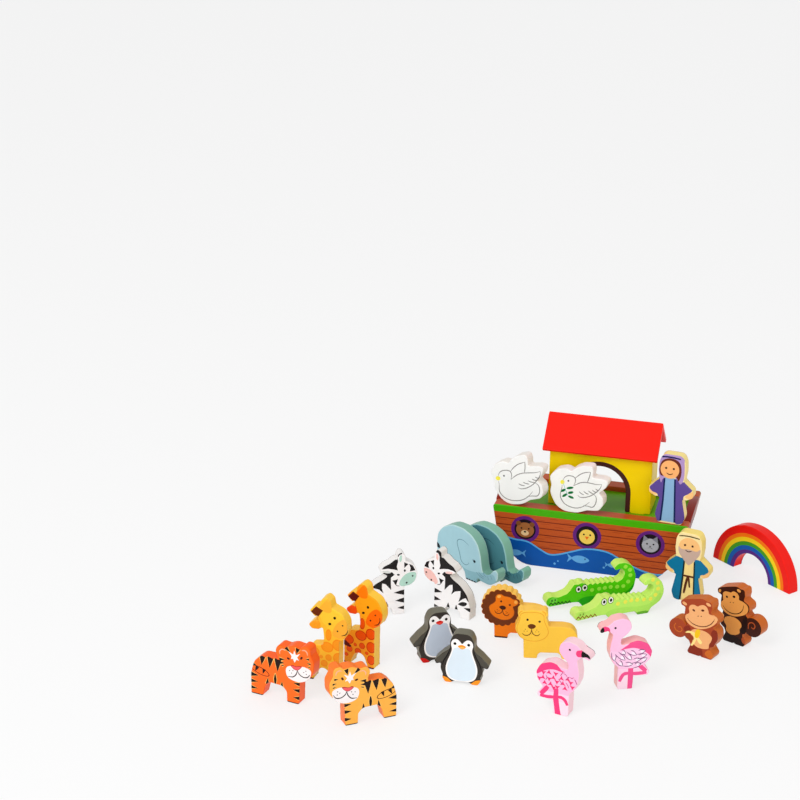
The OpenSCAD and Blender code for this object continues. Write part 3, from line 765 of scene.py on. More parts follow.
# %% Draw and print the zebras
def zebra_drawing(tone, nose, low_ear, slip):
    mane = [
        corners((1.0, 50.4), (3.0, 54.0), (8.4, 53.0), (9.4, 45.6), (12.9, 43.6), (15.6, 42.0),
                (20.8, 39.4), (20.6, 36.8), (17.6, 38.4), (12.4, 38.8), (8.0, 37.8),
                (4.5, 36.6), (5.4, 40.2), (4.4, 44.0), (4.6, 47.4), (3.2, 49.8)),
        corners((7.0, 33.2), (9.0, 35.4), (14.4, 36.5), (18.4, 33.4), (24.4, 30.0), (29.6, 26.0),
                (33.8, 20.4), (36.4, 12.0), (36.4, -1.0), (32.9, -1.0), (33.2, 6.0),
                (33.0, 11.0), (31.6, 15.2), (28.8, 18.5), (25.6, 16.4), (22.4, 13.4),
                (24.0, 18.6), (24.1, 23.2), (22.4, 22.7), (19.0, 21.4), (15.7, 17.9),
                (17.0, 22.4), (16.7, 26.6), (14.0, 25.6), (9.6, 20.3), (9.9, 25.6),
                (9.9, 31.0)),
        patch((22.2, 11.3), (25.2, 14.0), (28.6, 14.7), (30.2, 13.6), (27.2, 10.9)),
        wedge((34.8, 8.9), (27.2, 9.6), 4.2)]
    stripes = [wedge((-0.8, 17.6), (7.6, 17.8), 4.6), wedge((-0.8, 10.8), (6.4, 10.8), 4.4),
               wedge((-0.8, 4.4), (4.6, 4.5), 3.2), wedge((13.2, 6.3), (13.2, 10.6), 3.0),
               wedge((20.6, 6.5), (20.4, 10.6), 2.8),
               corners((-9.4, 35.6), (-7.4, 39.8), (-4.4, 41.6), (-5.6, 37.8), (-5.0, 35.0)),
               corners((-3.9, 41.4), (-0.4, 43.2), (-0.6, 38.2), (-2.6, 40.3)),
               corners((4.3, 29.2), (6.6, 28.6), (8.8, 28.3), (5.7, 24.6)),
               line(0.5, (2.8, 23.2), (5.2, 23.8), (7.2, 26.2))]
    return [
        ("zebra_black", (0.12, 0.11, 0.11), [moved(shape, slip) for shape in mane + stripes]),
        ("zebra_nose_" + tone, nose, [moved(
            patch((-9.8, 33.4), (-5.0, 34.2), (-0.6, 32.0), (2.6, 27.6), (3.0, 24.2),
                  (-0.2, 22.8), (-5.2, 23.8), (-9.0, 27.2)), slip)]),
        ("zebra_ear_" + tone, nose, [moved(oval(2.4, 46.6, 1.0, 2.9, 4), slip)]),
        ("zebra_low_ear_" + tone, low_ear, [moved(oval(13.4, 36.0, 3.5, 1.0, 12), slip)]),
        ("zebra_ink", EYE_BLACK, [moved(shape, slip) for shape in (
            oval(-1.0, 36.1, 0.8, 1.0), oval(4.1, 32.9, 1.1, 0.75, 15),
            oval(-7.3, 31.0, 0.65), oval(-2.6, 25.6, 0.75))]),
    ]


ZEBRA_LEFT = -10.02
ZEBRAS = {
    "zebra_mint_nose": ("mint", (0.70, 0.86, 0.80), (0.86, 0.88, 0.87), True, (1.2, 1.2)),
    "zebra_pink_nose": ("pink", (0.97, 0.78, 0.75), (0.97, 0.82, 0.80), False, (0.0, 0.0)),
}
for node, (name, nose, low_ear, mirrored, slip) in ZEBRAS.items():
    print_figure(node, zebra_drawing(name, nose, low_ear, slip), ZEBRA_LEFT, mirrored)


# %% [markdown]
# ## Penguins
# A penguin is drawn evenly about its middle, so one half is written and the other is its
# reflection. The white front has a pale blue middle, and the feet and the beak are bright.

# %% Draw and print the penguins
def reflected(shape):
    return [(-x, z) for x, z in shape]


def penguin_drawing(name, belly, beak, beak_light, slip):
    half = [(0.0, 32.6), (1.7, 34.4), (3.5, 35.8), (5.6, 35.9), (7.5, 34.3), (8.2, 31.4),
            (7.5, 27.4), (8.7, 22.8), (10.7, 17.4), (11.8, 12.0), (11.0, 6.6), (8.4, 3.3),
            (3.6, 1.7)]
    bib = patch(*(half + reflected(half[:0:-1])))
    inner = [(2.2, 29.4), (5.4, 28.8), (6.5, 26.8), (7.7, 22.6), (9.7, 17.2), (10.7, 12.0),
             (10.0, 7.2), (7.6, 4.2), (3.0, 2.6)]
    middle = patch(*(inner + reflected(inner[::-1])))
    wing = patch((9.4, 26.4), (14.0, 23.0), (19.2, 18.2), (18.6, 15.4), (15.2, 16.4),
                 (12.0, 19.8))
    foot = patch((6.4, 0.2), (8.4, 2.0), (10.6, 3.8), (14.6, 4.6), (16.4, 2.6), (14.6, -0.8),
                 (9.0, -0.8))
    edge_line = line(0.8, (8.7, 28.0), (10.8, 22.4), (13.2, 18.0), (14.4, 13.6))
    return [
        ("penguin_wing", (0.29, 0.28, 0.25), [wing, reflected(wing)]),
        ("penguin_foot_" + name, beak, [foot, reflected(foot)]),
        ("penguin_white", WHITE, [moved(bib, slip)]),
        ("penguin_belly_" + name, belly, [moved(middle, slip)]),
        ("penguin_ink", EYE_BLACK, [
            moved(oval(-5.3, 32.3, 1.1), slip), moved(oval(4.9, 32.3, 1.1), slip),
            edge_line, reflected(edge_line)]),
        ("penguin_beak_" + name, beak,
         [moved(patch((-3.1, 30.3), (-0.1, 31.8), (2.8, 30.3), (0.0, 28.3)), slip)]),
        ("penguin_lip_" + name, beak_light,
         [moved(patch((-2.3, 29.9), (0.0, 30.2), (2.1, 29.9), (0.0, 28.8)), slip)]),
    ]


PENGUINS = {
    "penguin_red_beak": penguin_drawing("red", (0.74, 0.79, 0.85), (0.80, 0.08, 0.05),
                                        (0.93, 0.28, 0.22), (0.1, 2.1)),
    "penguin_orange_beak": penguin_drawing("orange", (0.84, 0.90, 0.94), (0.97, 0.58, 0.12),
                                           (1.0, 0.74, 0.38), (0.0, 0.0)),
}
PENGUIN_LEFT = -20.32
for node, layers in PENGUINS.items():
    print_figure(node, layers, PENGUIN_LEFT)


# %% [markdown]
# ## Elephants
# The elephants are plain: a darker belly, one big ear as a thin line, an eye with a lid, a few
# folds where the trunk leaves the cheek, dark toenails and the tip of the tail.

# %% Draw and print the elephants
def elephant_drawing(name, line_tone, dark, belly, eye):
    nails = [oval(x, 0.5, 1.25, 0.95) for x in (0.6, 3.4, 6.2, 9.0, -30.0, -27.2, -24.4, -21.6)]
    return [
        ("elephant_shade_" + name, belly, [
            patch((-34.6, 13.4), (-27.0, 15.4), (-14.0, 13.6), (-2.0, 9.0), (10.0, 9.6),
                  (22.0, 13.0), (30.0, 12.0), (30.0, -1.5), (0.0, -2.0), (-34.6, -1.5))]),
        ("elephant_line_" + name, line_tone, [
            line(0.6, (1.6, 30.4), (-1.6, 32.0), (-5.4, 33.0), (-8.8, 32.5), (-10.9, 30.4),
                 (-10.6, 27.0), (-8.8, 22.4), (-7.4, 18.2), (-6.6, 15.2), (-4.2, 13.0),
                 (-1.2, 12.5), (1.2, 13.8), (2.2, 15.6)),
            line(0.5, (10.4, 10.0), (14.0, 7.6), (19.0, 6.6)),
            line(0.45, (12.6, 11.2), (15.6, 8.8), (19.2, 8.4)),
            line(0.45, (17.2, 12.6), (18.6, 10.4), (20.8, 9.2)),
            line(0.4, (22.4, 10.6), (23.6, 7.4)), line(0.4, (25.6, 12.0), (27.2, 8.8))]),
        ("elephant_ink_" + name, dark, nails + [
            oval(eye[0], eye[1], 1.25, 0.95, -20),
            line(0.5, (eye[0] - 2.0, eye[1] + 0.8), (eye[0] - 0.2, eye[1] + 1.2),
                 (eye[0] + 1.6, eye[1] + 0.2)),
            patch((-33.6, 22.0), (-31.4, 21.6), (-29.6, 19.4), (-30.4, 17.6), (-33.6, 18.8))]),
    ]


ELEPHANTS = {
    "elephant_near": elephant_drawing("near", (0.40, 0.55, 0.61), (0.07, 0.13, 0.16),
                                      (0.55, 0.73, 0.77), (7.9, 18.3)),
    "elephant_far": elephant_drawing("far", (0.14, 0.30, 0.35), (0.03, 0.10, 0.13),
                                     (0.25, 0.46, 0.49), (10.2, 17.2)),
}
ELEPHANT_LEFT = -33.33
for node, layers in ELEPHANTS.items():
    print_figure(node, layers, ELEPHANT_LEFT)


# %% [markdown]
# ## Lion and lioness
# The lion's mane is a brown ring with as many tufts as the sawn edge has, and the face lies in
# it with two round ears. The lioness has a paler face without a mane.

# %% Draw and print the lions
def tufted(x, z, radius, tufts=19, depth=1.2, steps=8):
    """A ring of tufts. Each is one arch of a sine wave that is wound round the circle."""
    turns = [math.tau * i / (tufts * steps) for i in range(tufts * steps)]
    reach = [radius - depth + depth * abs(math.sin(a * tufts / 2)) for a in turns]
    return [(x + r * math.cos(a), z + r * math.sin(a)) for a, r in zip(turns, reach)]


def shrunk(points, x, z, share):
    return [(x + (px - x) * share, z + (pz - z) * share) for px, pz in points]


def lion_drawing():
    face = [(-5.0, 23.8), (-4.5, 26.6), (-1.8, 28.8), (-0.2, 31.0), (-0.3, 34.2), (1.4, 36.4),
            (4.0, 36.6), (6.4, 35.4), (10.6, 34.8), (13.2, 33.2), (16.0, 32.9), (17.2, 30.4),
            (15.4, 28.2), (13.2, 26.8), (14.3, 23.0), (13.6, 19.2), (10.6, 16.2), (5.4, 15.2),
            (0.2, 16.8), (-3.4, 19.8)]
    mouth = [line(0.6, (5.3, 24.4), (4.6, 21.6), (2.8, 20.4), (0.4, 20.8), (-0.8, 22.8)),
             line(0.6, (5.3, 24.4), (5.9, 20.8), (7.6, 19.2), (9.4, 19.4), (10.5, 21.0))]
    dots = [oval(x, z, 0.3) for x, z in ((1.2, 23.6), (2.6, 22.6), (1.2, 22.2), (8.0, 22.4),
                                         (9.2, 21.6), (8.2, 21.2))]
    return [
        ("lion_mane", (0.42, 0.19, 0.05), [tufted(4.3, 25.2, 15.4)]),
        ("lion_rim", (0.84, 0.42, 0.06), [patch(*face)]),
        ("lion_face", (1.0, 0.72, 0.24), [patch(*shrunk(face, 5.0, 25.4, 0.95))]),
        ("lion_ear", (0.99, 0.70, 0.30), [oval(2.3, 34.6, 1.5, 1.2, 30),
                                          oval(15.2, 31.0, 1.3, 1.4, -20)]),
        ("lion_ink", (0.27, 0.11, 0.03), mouth + dots
         + [oval(4.0, 30.7, 0.75, 0.85), oval(10.7, 28.3, 0.8, 0.8),
            patch((2.7, 25.9), (4.4, 27.2), (6.6, 27.0), (7.9, 25.6), (6.6, 24.0), (4.4, 24.0)),
            bar(-1.6, -1.0, 10.6, 1.2), bar(27.0, -1.0, 41.5, 1.2)]),
    ]


def lioness_drawing():
    face = [(-6.2, 24.0), (-5.4, 28.4), (-4.2, 32.4), (-4.0, 35.8), (-1.4, 38.0), (4.2, 38.6),
            (10.0, 38.2), (13.6, 36.0), (14.2, 31.6), (16.4, 26.4), (17.7, 21.8), (15.4, 17.4),
            (11.0, 14.9), (6.0, 14.3), (0.4, 15.2), (-3.8, 18.2)]
    mouth = [line(0.6, (4.9, 25.2), (4.3, 21.2), (2.2, 19.3), (-0.4, 19.4), (-2.0, 20.8)),
             line(0.6, (4.9, 25.2), (5.6, 21.2), (8.0, 19.3), (10.0, 19.5), (11.3, 21.0))]
    dots = [oval(x, z, 0.3) for x, z in ((0.2, 24.2), (-0.6, 22.6), (1.6, 22.6), (8.8, 23.8),
                                         (10.2, 22.4), (7.8, 22.2))]
    return [
        ("lioness_line", (0.90, 0.60, 0.13), [patch(*face)]),
        ("lioness_face", (0.99, 0.83, 0.28), [patch(*shrunk(face, 5.0, 26.4, 0.965))]),
        ("lioness_ear", (0.95, 0.66, 0.18), [
            line(0.7, (-4.8, 36.2), (-4.2, 38.2), (-2.2, 39.2)),
            line(0.7, (12.2, 39.4), (14.4, 38.2), (15.0, 36.0)),
            line(0.6, (-5.9, 29.8), (-4.8, 32.6), (-5.0, 34.6))]),
        ("lioness_ink", (0.40, 0.20, 0.04), mouth + dots
         + [patch((1.9, 27.0), (3.8, 28.6), (6.4, 28.4), (8.0, 26.8), (6.2, 24.9), (3.6, 24.9))]),
        ("lioness_eye", (0.20, 0.10, 0.03), [oval(1.6, 32.2, 0.85, 0.95),
                                             oval(10.6, 30.9, 0.9, 0.8)]),
    ]


LIONS = {"lion": (-11.40, lion_drawing()), "lioness": (-7.24, lioness_drawing())}
for node, (left, layers) in LIONS.items():
    print_figure(node, layers, left)


# %% [markdown]
# ## Crocodiles
# A row of round spots runs along the back and up the tail. The eyes are white ovals with black
# pupils, the teeth are one zigzag line, and the nostrils sit in a lighter patch.

# %% Draw and print the crocodiles
def crocodile_drawing(name, spot, teeth, snout, nostril, shade, foot, spots, eyes, smile):
    """Six inks, then the places of spots and eyes, and the teeth's ends, height, step and rise."""
    left, right, z, step, rise = smile
    count = int((right - left) / step)
    zigzag = [(left + step * i, z + (rise if i % 2 else -rise)) for i in range(count + 1)]
    tooth_line = [(x, h + 0.5) for x, h in zigzag] + [(x, h - 0.5) for x, h in zigzag[::-1]]
    return [
        ("crocodile_shade_" + name, shade, [
            patch((-4.0, -1.0), (-3.2, 4.6), (3.0, 8.4), (16.0, 8.6), (28.0, 7.4), (38.0, 9.4),
                  (44.4, 16.0), (47.0, 12.0), (38.0, -1.4), (16.0, -1.4))]),
        ("crocodile_foot_" + name, foot, [
            patch((23.4, -1.4), (24.0, 1.6), (28.4, 2.7), (34.4, 2.2), (36.8, -1.4))]),
        ("crocodile_spot_" + name, spot, [oval(x, h, 1.7, 1.65) for x, h in spots]),
        ("crocodile_snout_" + name, snout, [oval(-22.6, 8.4, 3.2, 2.5, 10)]),
        ("crocodile_eye_rim", (0.22, 0.30, 0.14), [oval(x, h, 2.45, 2.95) for x, h in eyes]),
        ("crocodile_eye_white", (0.95, 0.97, 0.92), [oval(x, h, 2.0, 2.5) for x, h in eyes]),
        ("crocodile_ink", EYE_BLACK, [oval(x + 0.1, h, 1.1, 1.4) for x, h in eyes]),
        ("crocodile_teeth_" + name, teeth, [tooth_line]),
        ("crocodile_nostril_" + name, nostril, [oval(-23.9, 8.3, 0.55, 0.85),
                                                oval(-21.3, 8.7, 0.55, 0.85)]),
    ]


CROCODILES = {
    "crocodile_dark": crocodile_drawing(
        "dark", (0.62, 0.90, 0.28), (0.03, 0.22, 0.03), (0.42, 0.84, 0.24), (0.05, 0.30, 0.05),
        (0.12, 0.66, 0.02), (0.10, 0.56, 0.03),
        [(9.0, 14.0), (14.9, 14.4), (19.6, 14.6), (24.5, 14.8), (30.0, 14.4), (35.0, 14.4),
         (39.0, 17.9), (40.5, 23.3), (39.9, 28.0), (36.1, 31.1)],
        [(-2.3, 15.9), (2.8, 16.6)], (-26.0, -8.0, 5.7, 1.5, 1.0)),
    "crocodile_light": crocodile_drawing(
        "light", (0.93, 0.93, 0.33), (0.56, 0.34, 0.04), (0.70, 0.91, 0.38), (0.44, 0.60, 0.18),
        (0.69, 0.92, 0.37), (0.40, 0.68, 0.17),
        [(8.2, 12.6), (14.6, 13.2), (19.7, 13.6), (24.9, 13.1), (30.7, 12.6), (36.5, 12.2),
         (40.6, 15.0), (42.6, 20.0), (42.0, 25.0), (37.8, 28.4)],
        [(-3.9, 16.2), (1.9, 16.8)], (-27.2, -9.6, 5.9, 1.75, 1.1)),
}
CROCODILE_LEFT = -28.49
for node, layers in CROCODILES.items():
    print_figure(node, layers, CROCODILE_LEFT)


# %% [markdown]
# ## Feathers and scales
# The flamingos' wings differ. One has white feather tips, each between two thin strokes that
# meet at the tip. The other has pale scales, and only the hot pink gaps between them are drawn,
# each with three hollow sides, pointing up or down.

# %% Feathers and the gaps between scales
def feathers(ends):
    """White feather tips, and the two thin strokes that meet at each tip."""
    whites, strokes = [], []
    for root, tip in ends:
        root, tip = Vector(root), Vector(tip)
        across = (tip - root).orthogonal().normalized()
        whites.append(spindle(root.lerp(tip, 0.4), tip, 2.4))
        for side, share in ((1.0, -0.1), (-1.0, 0.2)):
            bend = root.lerp(tip, 0.55) + across * 1.6 * side
            strokes.append(line(0.55, root.lerp(tip, share) + across * 1.3 * side, bend, tip))
    return whites, strokes


FEATHER_ENDS = [((14.6, 30.6), (13.4, 23.8)), ((11.4, 29.4), (5.4, 23.9)),
                ((11.6, 24.4), (7.0, 19.2)), ((5.6, 29.6), (0.3, 23.6)),
                ((3.6, 31.4), (-3.0, 27.4)), ((-3.0, 29.4), (-9.6, 30.6)),
                ((-3.6, 25.6), (-10.8, 27.4)), ((0.4, 22.4), (-6.4, 24.4)),
                ((-4.6, 21.2), (-11.2, 24.6)), ((6.6, 20.6), (-0.6, 20.2)),
                ((-1.0, 18.4), (-7.0, 20.6)), ((9.8, 31.9), (5.2, 28.9))]
WHITE_TIPS, STROKES = feathers(FEATHER_ENDS)
GAP_EDGE = [(-2.1, -1.4), (0.0, -0.9), (2.1, -1.4), (0.8, 0.3), (0.0, 2.0), (-0.8, 0.3)]
SCALE_GAPS = [corners(*[(x + px, z + pz * way) for px, pz in GAP_EDGE]) for x, z, way in (
    (0.1, 32.0, -1), (4.6, 29.6, 1), (-1.6, 28.6, 1), (-4.9, 26.8, -1), (1.2, 25.8, -1),
    (5.8, 25.8, 1), (11.8, 27.7, -1), (7.6, 22.4, 1), (13.2, 24.4, -1), (-5.2, 32.0, 1),
    (1.6, 21.8, -1), (-9.4, 30.8, -1), (-9.6, 27.0, 1), (-12.4, 25.6, -1), (-8.2, 23.2, 1),
    (-3.6, 23.2, 1), (-1.2, 20.6, -1), (9.4, 30.2, 1))]
print(len(WHITE_TIPS), "feathers and", len(SCALE_GAPS), "gaps between scales")


# %% [markdown]
# ## Flamingos
# Both flamingos stand on one hot pink leg with the other bent across it, under a hot pink wing
# top. Below the belly the board is paler, in two tones. The feathered flamingo is turned over.

# %% Draw and print the flamingos
def flamingo_drawing(tone, hot, legs, wing, plumage, beak, eye):
    return [
        ("flamingo_shin_" + tone, (0.99, 0.86, 0.91), [bar(-20.0, -2.0, 20.0, 11.0)]),
        ("flamingo_foot_" + tone, (0.99, 0.82, 0.90), [bar(-20.0, 11.2, 20.0, 17.0)]),
        ("flamingo_hot_" + tone, hot, legs + [wing]),
        *plumage,
        ("flamingo_beak_" + tone, (0.92, 0.25, 0.47), [patch(*beak["base"])]),
        ("flamingo_black", EYE_BLACK, [patch(*beak["tip"]), oval(*eye, 0.8)]),
    ]


FLAMINGOS = {
    "flamingo_patched": (-15.12, False, flamingo_drawing(
        "patched", (0.98, 0.24, 0.48),
        [corners((-0.8, 20.5), (-1.2, 12.0), (-0.2, 6.0), (0.8, -1.0), (5.6, -1.0), (4.4, 4.0),
                 (3.4, 10.0), (2.8, 15.0), (2.6, 20.5)),
         line(3.4, (-5.6, 20.6), (-8.4, 16.6), (-11.0, 13.4), tip=0.8),
         line(2.5, (-11.4, 12.2), (-6.0, 12.4), (0.4, 13.6), tip=0.8),
         line(2.5, (1.6, 14.0), (5.2, 14.4), (8.2, 12.6), (9.9, 9.2), tip=0.7)],
        patch((-14.9, 28.8), (-14.0, 33.4), (-11.0, 37.2), (-6.6, 39.6), (-2.0, 39.9),
              (2.0, 38.2), (4.2, 36.0), (7.0, 35.0), (3.4, 34.7), (-1.0, 35.2), (-6.0, 34.0),
              (-10.2, 31.6), (-13.4, 29.2)),
        [("flamingo_scale_gap", (0.92, 0.20, 0.44), SCALE_GAPS),
         ("flamingo_scale_line", (0.72, 0.34, 0.54), [
             line(0.6, (5.6, 35.2), (4.8, 33.4), (3.7, 31.4)),
             line(0.6, (10.8, 32.5), (9.4, 31.0), (7.7, 29.2)),
             line(0.6, (14.6, 31.4), (15.6, 29.8), (16.6, 27.7)),
             line(0.5, (5.8, 33.9), (7.6, 33.4), (9.0, 31.9)),
             line(0.5, (11.2, 32.2), (12.6, 31.6), (14.0, 32.8)),
             line(0.5, (2.2, 28.6), (4.2, 26.6), (5.4, 24.4)),
             line(0.5, (-7.6, 29.4), (-6.6, 27.6), (-7.4, 25.4)),
             line(0.5, (8.0, 27.0), (9.6, 25.4), (10.4, 23.2))])],
        {"base": [(14.9, 51.4), (15.6, 54.2), (19.0, 55.2), (19.8, 52.6), (19.2, 50.4),
                  (16.4, 49.8)],
         "tip": [(19.2, 50.4), (19.6, 55.2), (22.8, 54.9), (25.4, 52.6), (26.5, 49.9),
                 (23.0, 51.0)]},
        (10.0, 53.7))),
    "flamingo_feathered": (-14.66, True, flamingo_drawing(
        "feathered", (0.94, 0.32, 0.55),
        [corners((-0.9, 20.0), (-1.5, -1.0), (2.7, -1.0), (2.8, 20.0)),
         line(3.2, (-4.6, 20.0), (-7.8, 16.6), (-10.8, 13.8), tip=0.8),
         line(2.8, (-11.2, 12.7), (-5.0, 12.4), (0.0, 12.6), tip=0.8),
         line(2.8, (2.0, 13.2), (5.6, 12.6), (7.6, 10.2), (8.9, 6.6), tip=0.7)],
        patch((-14.2, 26.6), (-14.2, 31.8), (-10.8, 36.6), (-4.6, 38.9), (0.8, 38.2),
              (4.6, 35.6), (9.4, 32.2), (5.0, 33.1), (-1.0, 33.4), (-7.0, 31.2),
              (-12.0, 27.4), (-13.4, 25.4)),
        [("flamingo_down", (0.99, 0.79, 0.90), [
            patch((-12.0, 24.6), (-8.6, 29.4), (-3.0, 32.2), (4.6, 32.4), (11.6, 31.2),
                  (16.6, 31.6), (16.0, 27.0), (11.4, 21.0), (4.6, 17.4), (-2.6, 17.4),
                  (-9.0, 20.2))]),
         ("flamingo_feather_white", (0.99, 0.92, 0.97), WHITE_TIPS),
         ("flamingo_feather_line", (0.46, 0.32, 0.46), STROKES)],
        {"base": [(18.0, 47.4), (18.6, 50.8), (21.4, 52.0), (23.4, 51.0), (23.4, 48.4),
                  (20.4, 47.8)],
         "tip": [(22.2, 48.6), (23.0, 51.4), (25.0, 51.2), (26.9, 48.6), (26.9, 44.6),
                 (24.2, 45.6)]},
        (14.0, 50.6))),
}
for node, (left, mirrored, layers) in FLAMINGOS.items():
    print_figure(node, layers, left, mirrored)


# %% [markdown]
# ## Doves
# The doves are drawn in grey lines on white: a head and breast, two wings with a few feather
# strokes, and a tail. The second dove's drawing is the first one's, made narrower and turned,
# and it carries a green sprig. Each board leans on its round belly, and its sheet with it.

# %% Draw and print the doves
def dove_drawing(place, more):
    strokes = [
        [(-15.0, 20.6), (-15.2, 17.0), (-16.1, 13.0), (-15.2, 9.4), (-12.0, 6.0), (-8.0, 4.2),
         (-3.0, 3.4), (2.0, 3.6), (7.0, 5.2), (11.0, 7.6), (14.8, 10.8)],
        [(-14.6, 24.6), (-13.0, 27.4), (-10.0, 29.2), (-6.0, 29.6), (-3.0, 28.9), (-1.8, 27.4),
         (-1.8, 25.0), (-3.2, 21.6)],
        [(-2.0, 28.5), (2.0, 32.0), (7.0, 34.6), (13.0, 36.0)],
        [(13.0, 36.0), (12.2, 31.6), (10.6, 26.8)],
        [(-3.2, 21.6), (0.0, 23.6), (4.0, 25.6), (9.0, 26.7), (15.0, 26.8), (20.4, 26.8),
         (25.5, 27.7)],
        [(25.5, 27.7), (24.6, 24.6), (22.0, 21.4), (18.0, 18.0), (14.0, 15.6), (9.0, 13.8),
         (4.4, 13.4), (1.9, 14.6)],
        [(8.4, 6.6), (13.0, 7.1), (18.0, 7.0), (20.6, 9.4), (21.6, 13.0), (21.0, 16.2),
         (18.4, 18.2)],
        [(3.2, 17.9), (5.4, 16.6), (8.6, 16.0)], [(7.6, 19.0), (10.2, 17.8), (13.2, 17.2)],
        [(12.4, 20.2), (15.0, 19.0), (18.4, 18.5)], [(16.4, 21.5), (18.8, 20.4), (21.8, 20.3)],
        [(19.8, 23.0), (21.2, 22.3), (22.8, 22.2)]]
    return [
        ("dove_line", (0.55, 0.54, 0.53), [line(0.75, *[place(p) for p in s]) for s in strokes]),
        ("dove_beak", (0.97, 0.92, 0.30), [
            patch(*[place(p) for p in ((-17.4, 22.8), (-15.6, 24.8), (-13.2, 24.0),
                                       (-13.2, 21.9), (-15.6, 21.2))])]),
        ("dove_eye", (0.25, 0.25, 0.28), [oval(*place((-9.0, 25.0)), 0.75)]),
    ] + more


def as_drawn(point):
    return point


def narrower(point):
    """The second dove's outline was laid over the first one's, and these factors fit it best."""
    x, z = point
    return (0.804 * x + 0.085 * z + 0.215, -0.056 * x + 1.07 * z + 0.882 - 0.04 * z)


SPRIG = [("dove_stem", (0.62, 0.80, 0.80), [line(0.5, (-9.4, 25.4), (-8.2, 21.6), (-6.2, 16.6),
                                                 (-5.0, 13.4))]),
         ("dove_leaf", (0.05, 0.45, 0.22), [oval(x, z, a, 1.05, tilt) for x, z, a, tilt in (
             (-3.5, 21.2, 3.0, 16), (-9.3, 18.2, 2.4, 32), (-2.9, 17.2, 2.5, 20),
             (-7.9, 14.2, 2.5, 38), (-2.6, 13.3, 2.4, -14))])]
DOVES = {"dove_plain": (14.5, dove_drawing(as_drawn, [])),
         "dove_with_sprig": (2.0, dove_drawing(narrower, SPRIG))}
DOVE_LEFT = -20.63
for node, (lean, layers) in DOVES.items():
    print_figure(node, layers, DOVE_LEFT, lean=lean)


# %% [markdown]
# ## The monkey with a banana
# A monkey's face is one pale shape with two lobes round the eyes and a wide muzzle, and the belly
# is another. This monkey peels a banana in front of its belly. Its outlines are kept under plain
# words, so that one function can print both monkeys.

# %% Outlines of the monkey with a banana
LIGHT_MONKEY = {
    "limb": (0.52, 0.17, 0.09),
    "limbs": [patch((-1.8, -0.8), (-1.6, 2.6), (1.6, 6.4), (5.6, 7.4), (10.6, 6.6), (11.0, -0.8)),
              patch((16.2, 13.4), (18.6, 17.6), (17.8, 22.4), (20.6, 25.6), (25.6, 20.0),
                    (24.6, 12.4), (18.4, 9.4)),
              patch((-4.6, 21.0), (-1.2, 22.6), (0.4, 19.2), (-3.2, 16.6), (-5.6, 18.2))],
    "sole": (0.78, 0.40, 0.14),
    "soles": [patch((13.6, 3.4), (16.0, 7.4), (20.6, 7.0), (21.6, 3.4), (18.0, 0.8)),
              line(0.8, (-12.4, 21.2), (-13.6, 18.4), (-11.8, 15.6), (-8.6, 15.2), (-6.8, 17.2),
                   (-8.2, 19.4), (-10.2, 18.6), tip=0.6)],
    "skin": (0.93, 0.68, 0.45),
    "skins": [patch((-4.6, 30.4), (-4.2, 26.8), (-1.4, 24.0), (2.8, 22.6), (7.4, 22.4),
                    (12.4, 24.2), (17.2, 27.2), (21.2, 31.4), (22.2, 34.6), (20.0, 37.0),
                    (15.2, 37.2), (14.2, 39.6), (12.6, 42.2), (9.8, 43.0), (6.8, 41.8),
                    (5.0, 40.4), (2.2, 40.9), (-1.0, 39.8), (-2.2, 36.8), (-1.6, 33.2)),
              patch((0.8, 18.4), (3.6, 21.2), (8.6, 22.0), (14.0, 21.7), (18.4, 19.0),
                    (18.2, 15.4), (16.7, 12.4), (16.2, 8.8), (11.6, 7.2), (6.6, 7.2),
                    (3.2, 9.6), (1.4, 14.0)),
              oval(-6.0, 39.6, 2.0, 1.2, -20), oval(14.0, 44.7, 2.1, 1.2, -15)],
    "dark": (0.36, 0.16, 0.08),
    "smiles": [line(0.7, (-3.0, 28.5), (-0.4, 26.2), (4.0, 24.8), (9.0, 25.0), (13.4, 26.6),
                    (17.0, 29.4), (19.0, 32.4), (19.9, 34.4)),
               oval(6.0, 32.7, 0.45), oval(8.6, 33.4, 0.45), oval(2.0, 36.4, 1.2, 0.85, -15),
               oval(9.5, 38.5, 1.4, 0.85, 15)],
    "more": [
        ("banana_peel", (0.98, 0.88, 0.55), [
            patch((-3.8, 16.2), (-1.8, 18.0), (1.4, 18.6), (4.4, 18.2), (6.0, 15.0),
                  (5.0, 11.0), (3.0, 7.4), (1.4, 7.2), (3.2, 11.6), (3.2, 15.0), (0.4, 16.8),
                  (-2.4, 16.2)),
            patch((5.4, 15.2), (7.6, 15.4), (10.6, 12.4), (9.8, 10.4), (7.4, 11.6))]),
        ("banana", (0.94, 0.76, 0.10), [
            patch((4.2, 16.0), (4.4, 19.4), (6.0, 21.6), (8.2, 21.8), (8.6, 18.4), (7.2, 15.0),
                  (5.2, 14.4))]),
        ("monkey_hand", (0.58, 0.24, 0.12), [
            patch((-4.2, 14.0), (-2.4, 15.8), (0.8, 15.8), (3.2, 14.4), (3.4, 12.2),
                  (0.8, 10.6), (-2.8, 11.4))])],
}
print(len(LIGHT_MONKEY["more"]), "more inks for the banana")


# %% [markdown]
# ## The brown monkey
# The brown monkey is slimmer and darker, turns its tail the other way and holds nothing. So its
# list of further inks is empty.

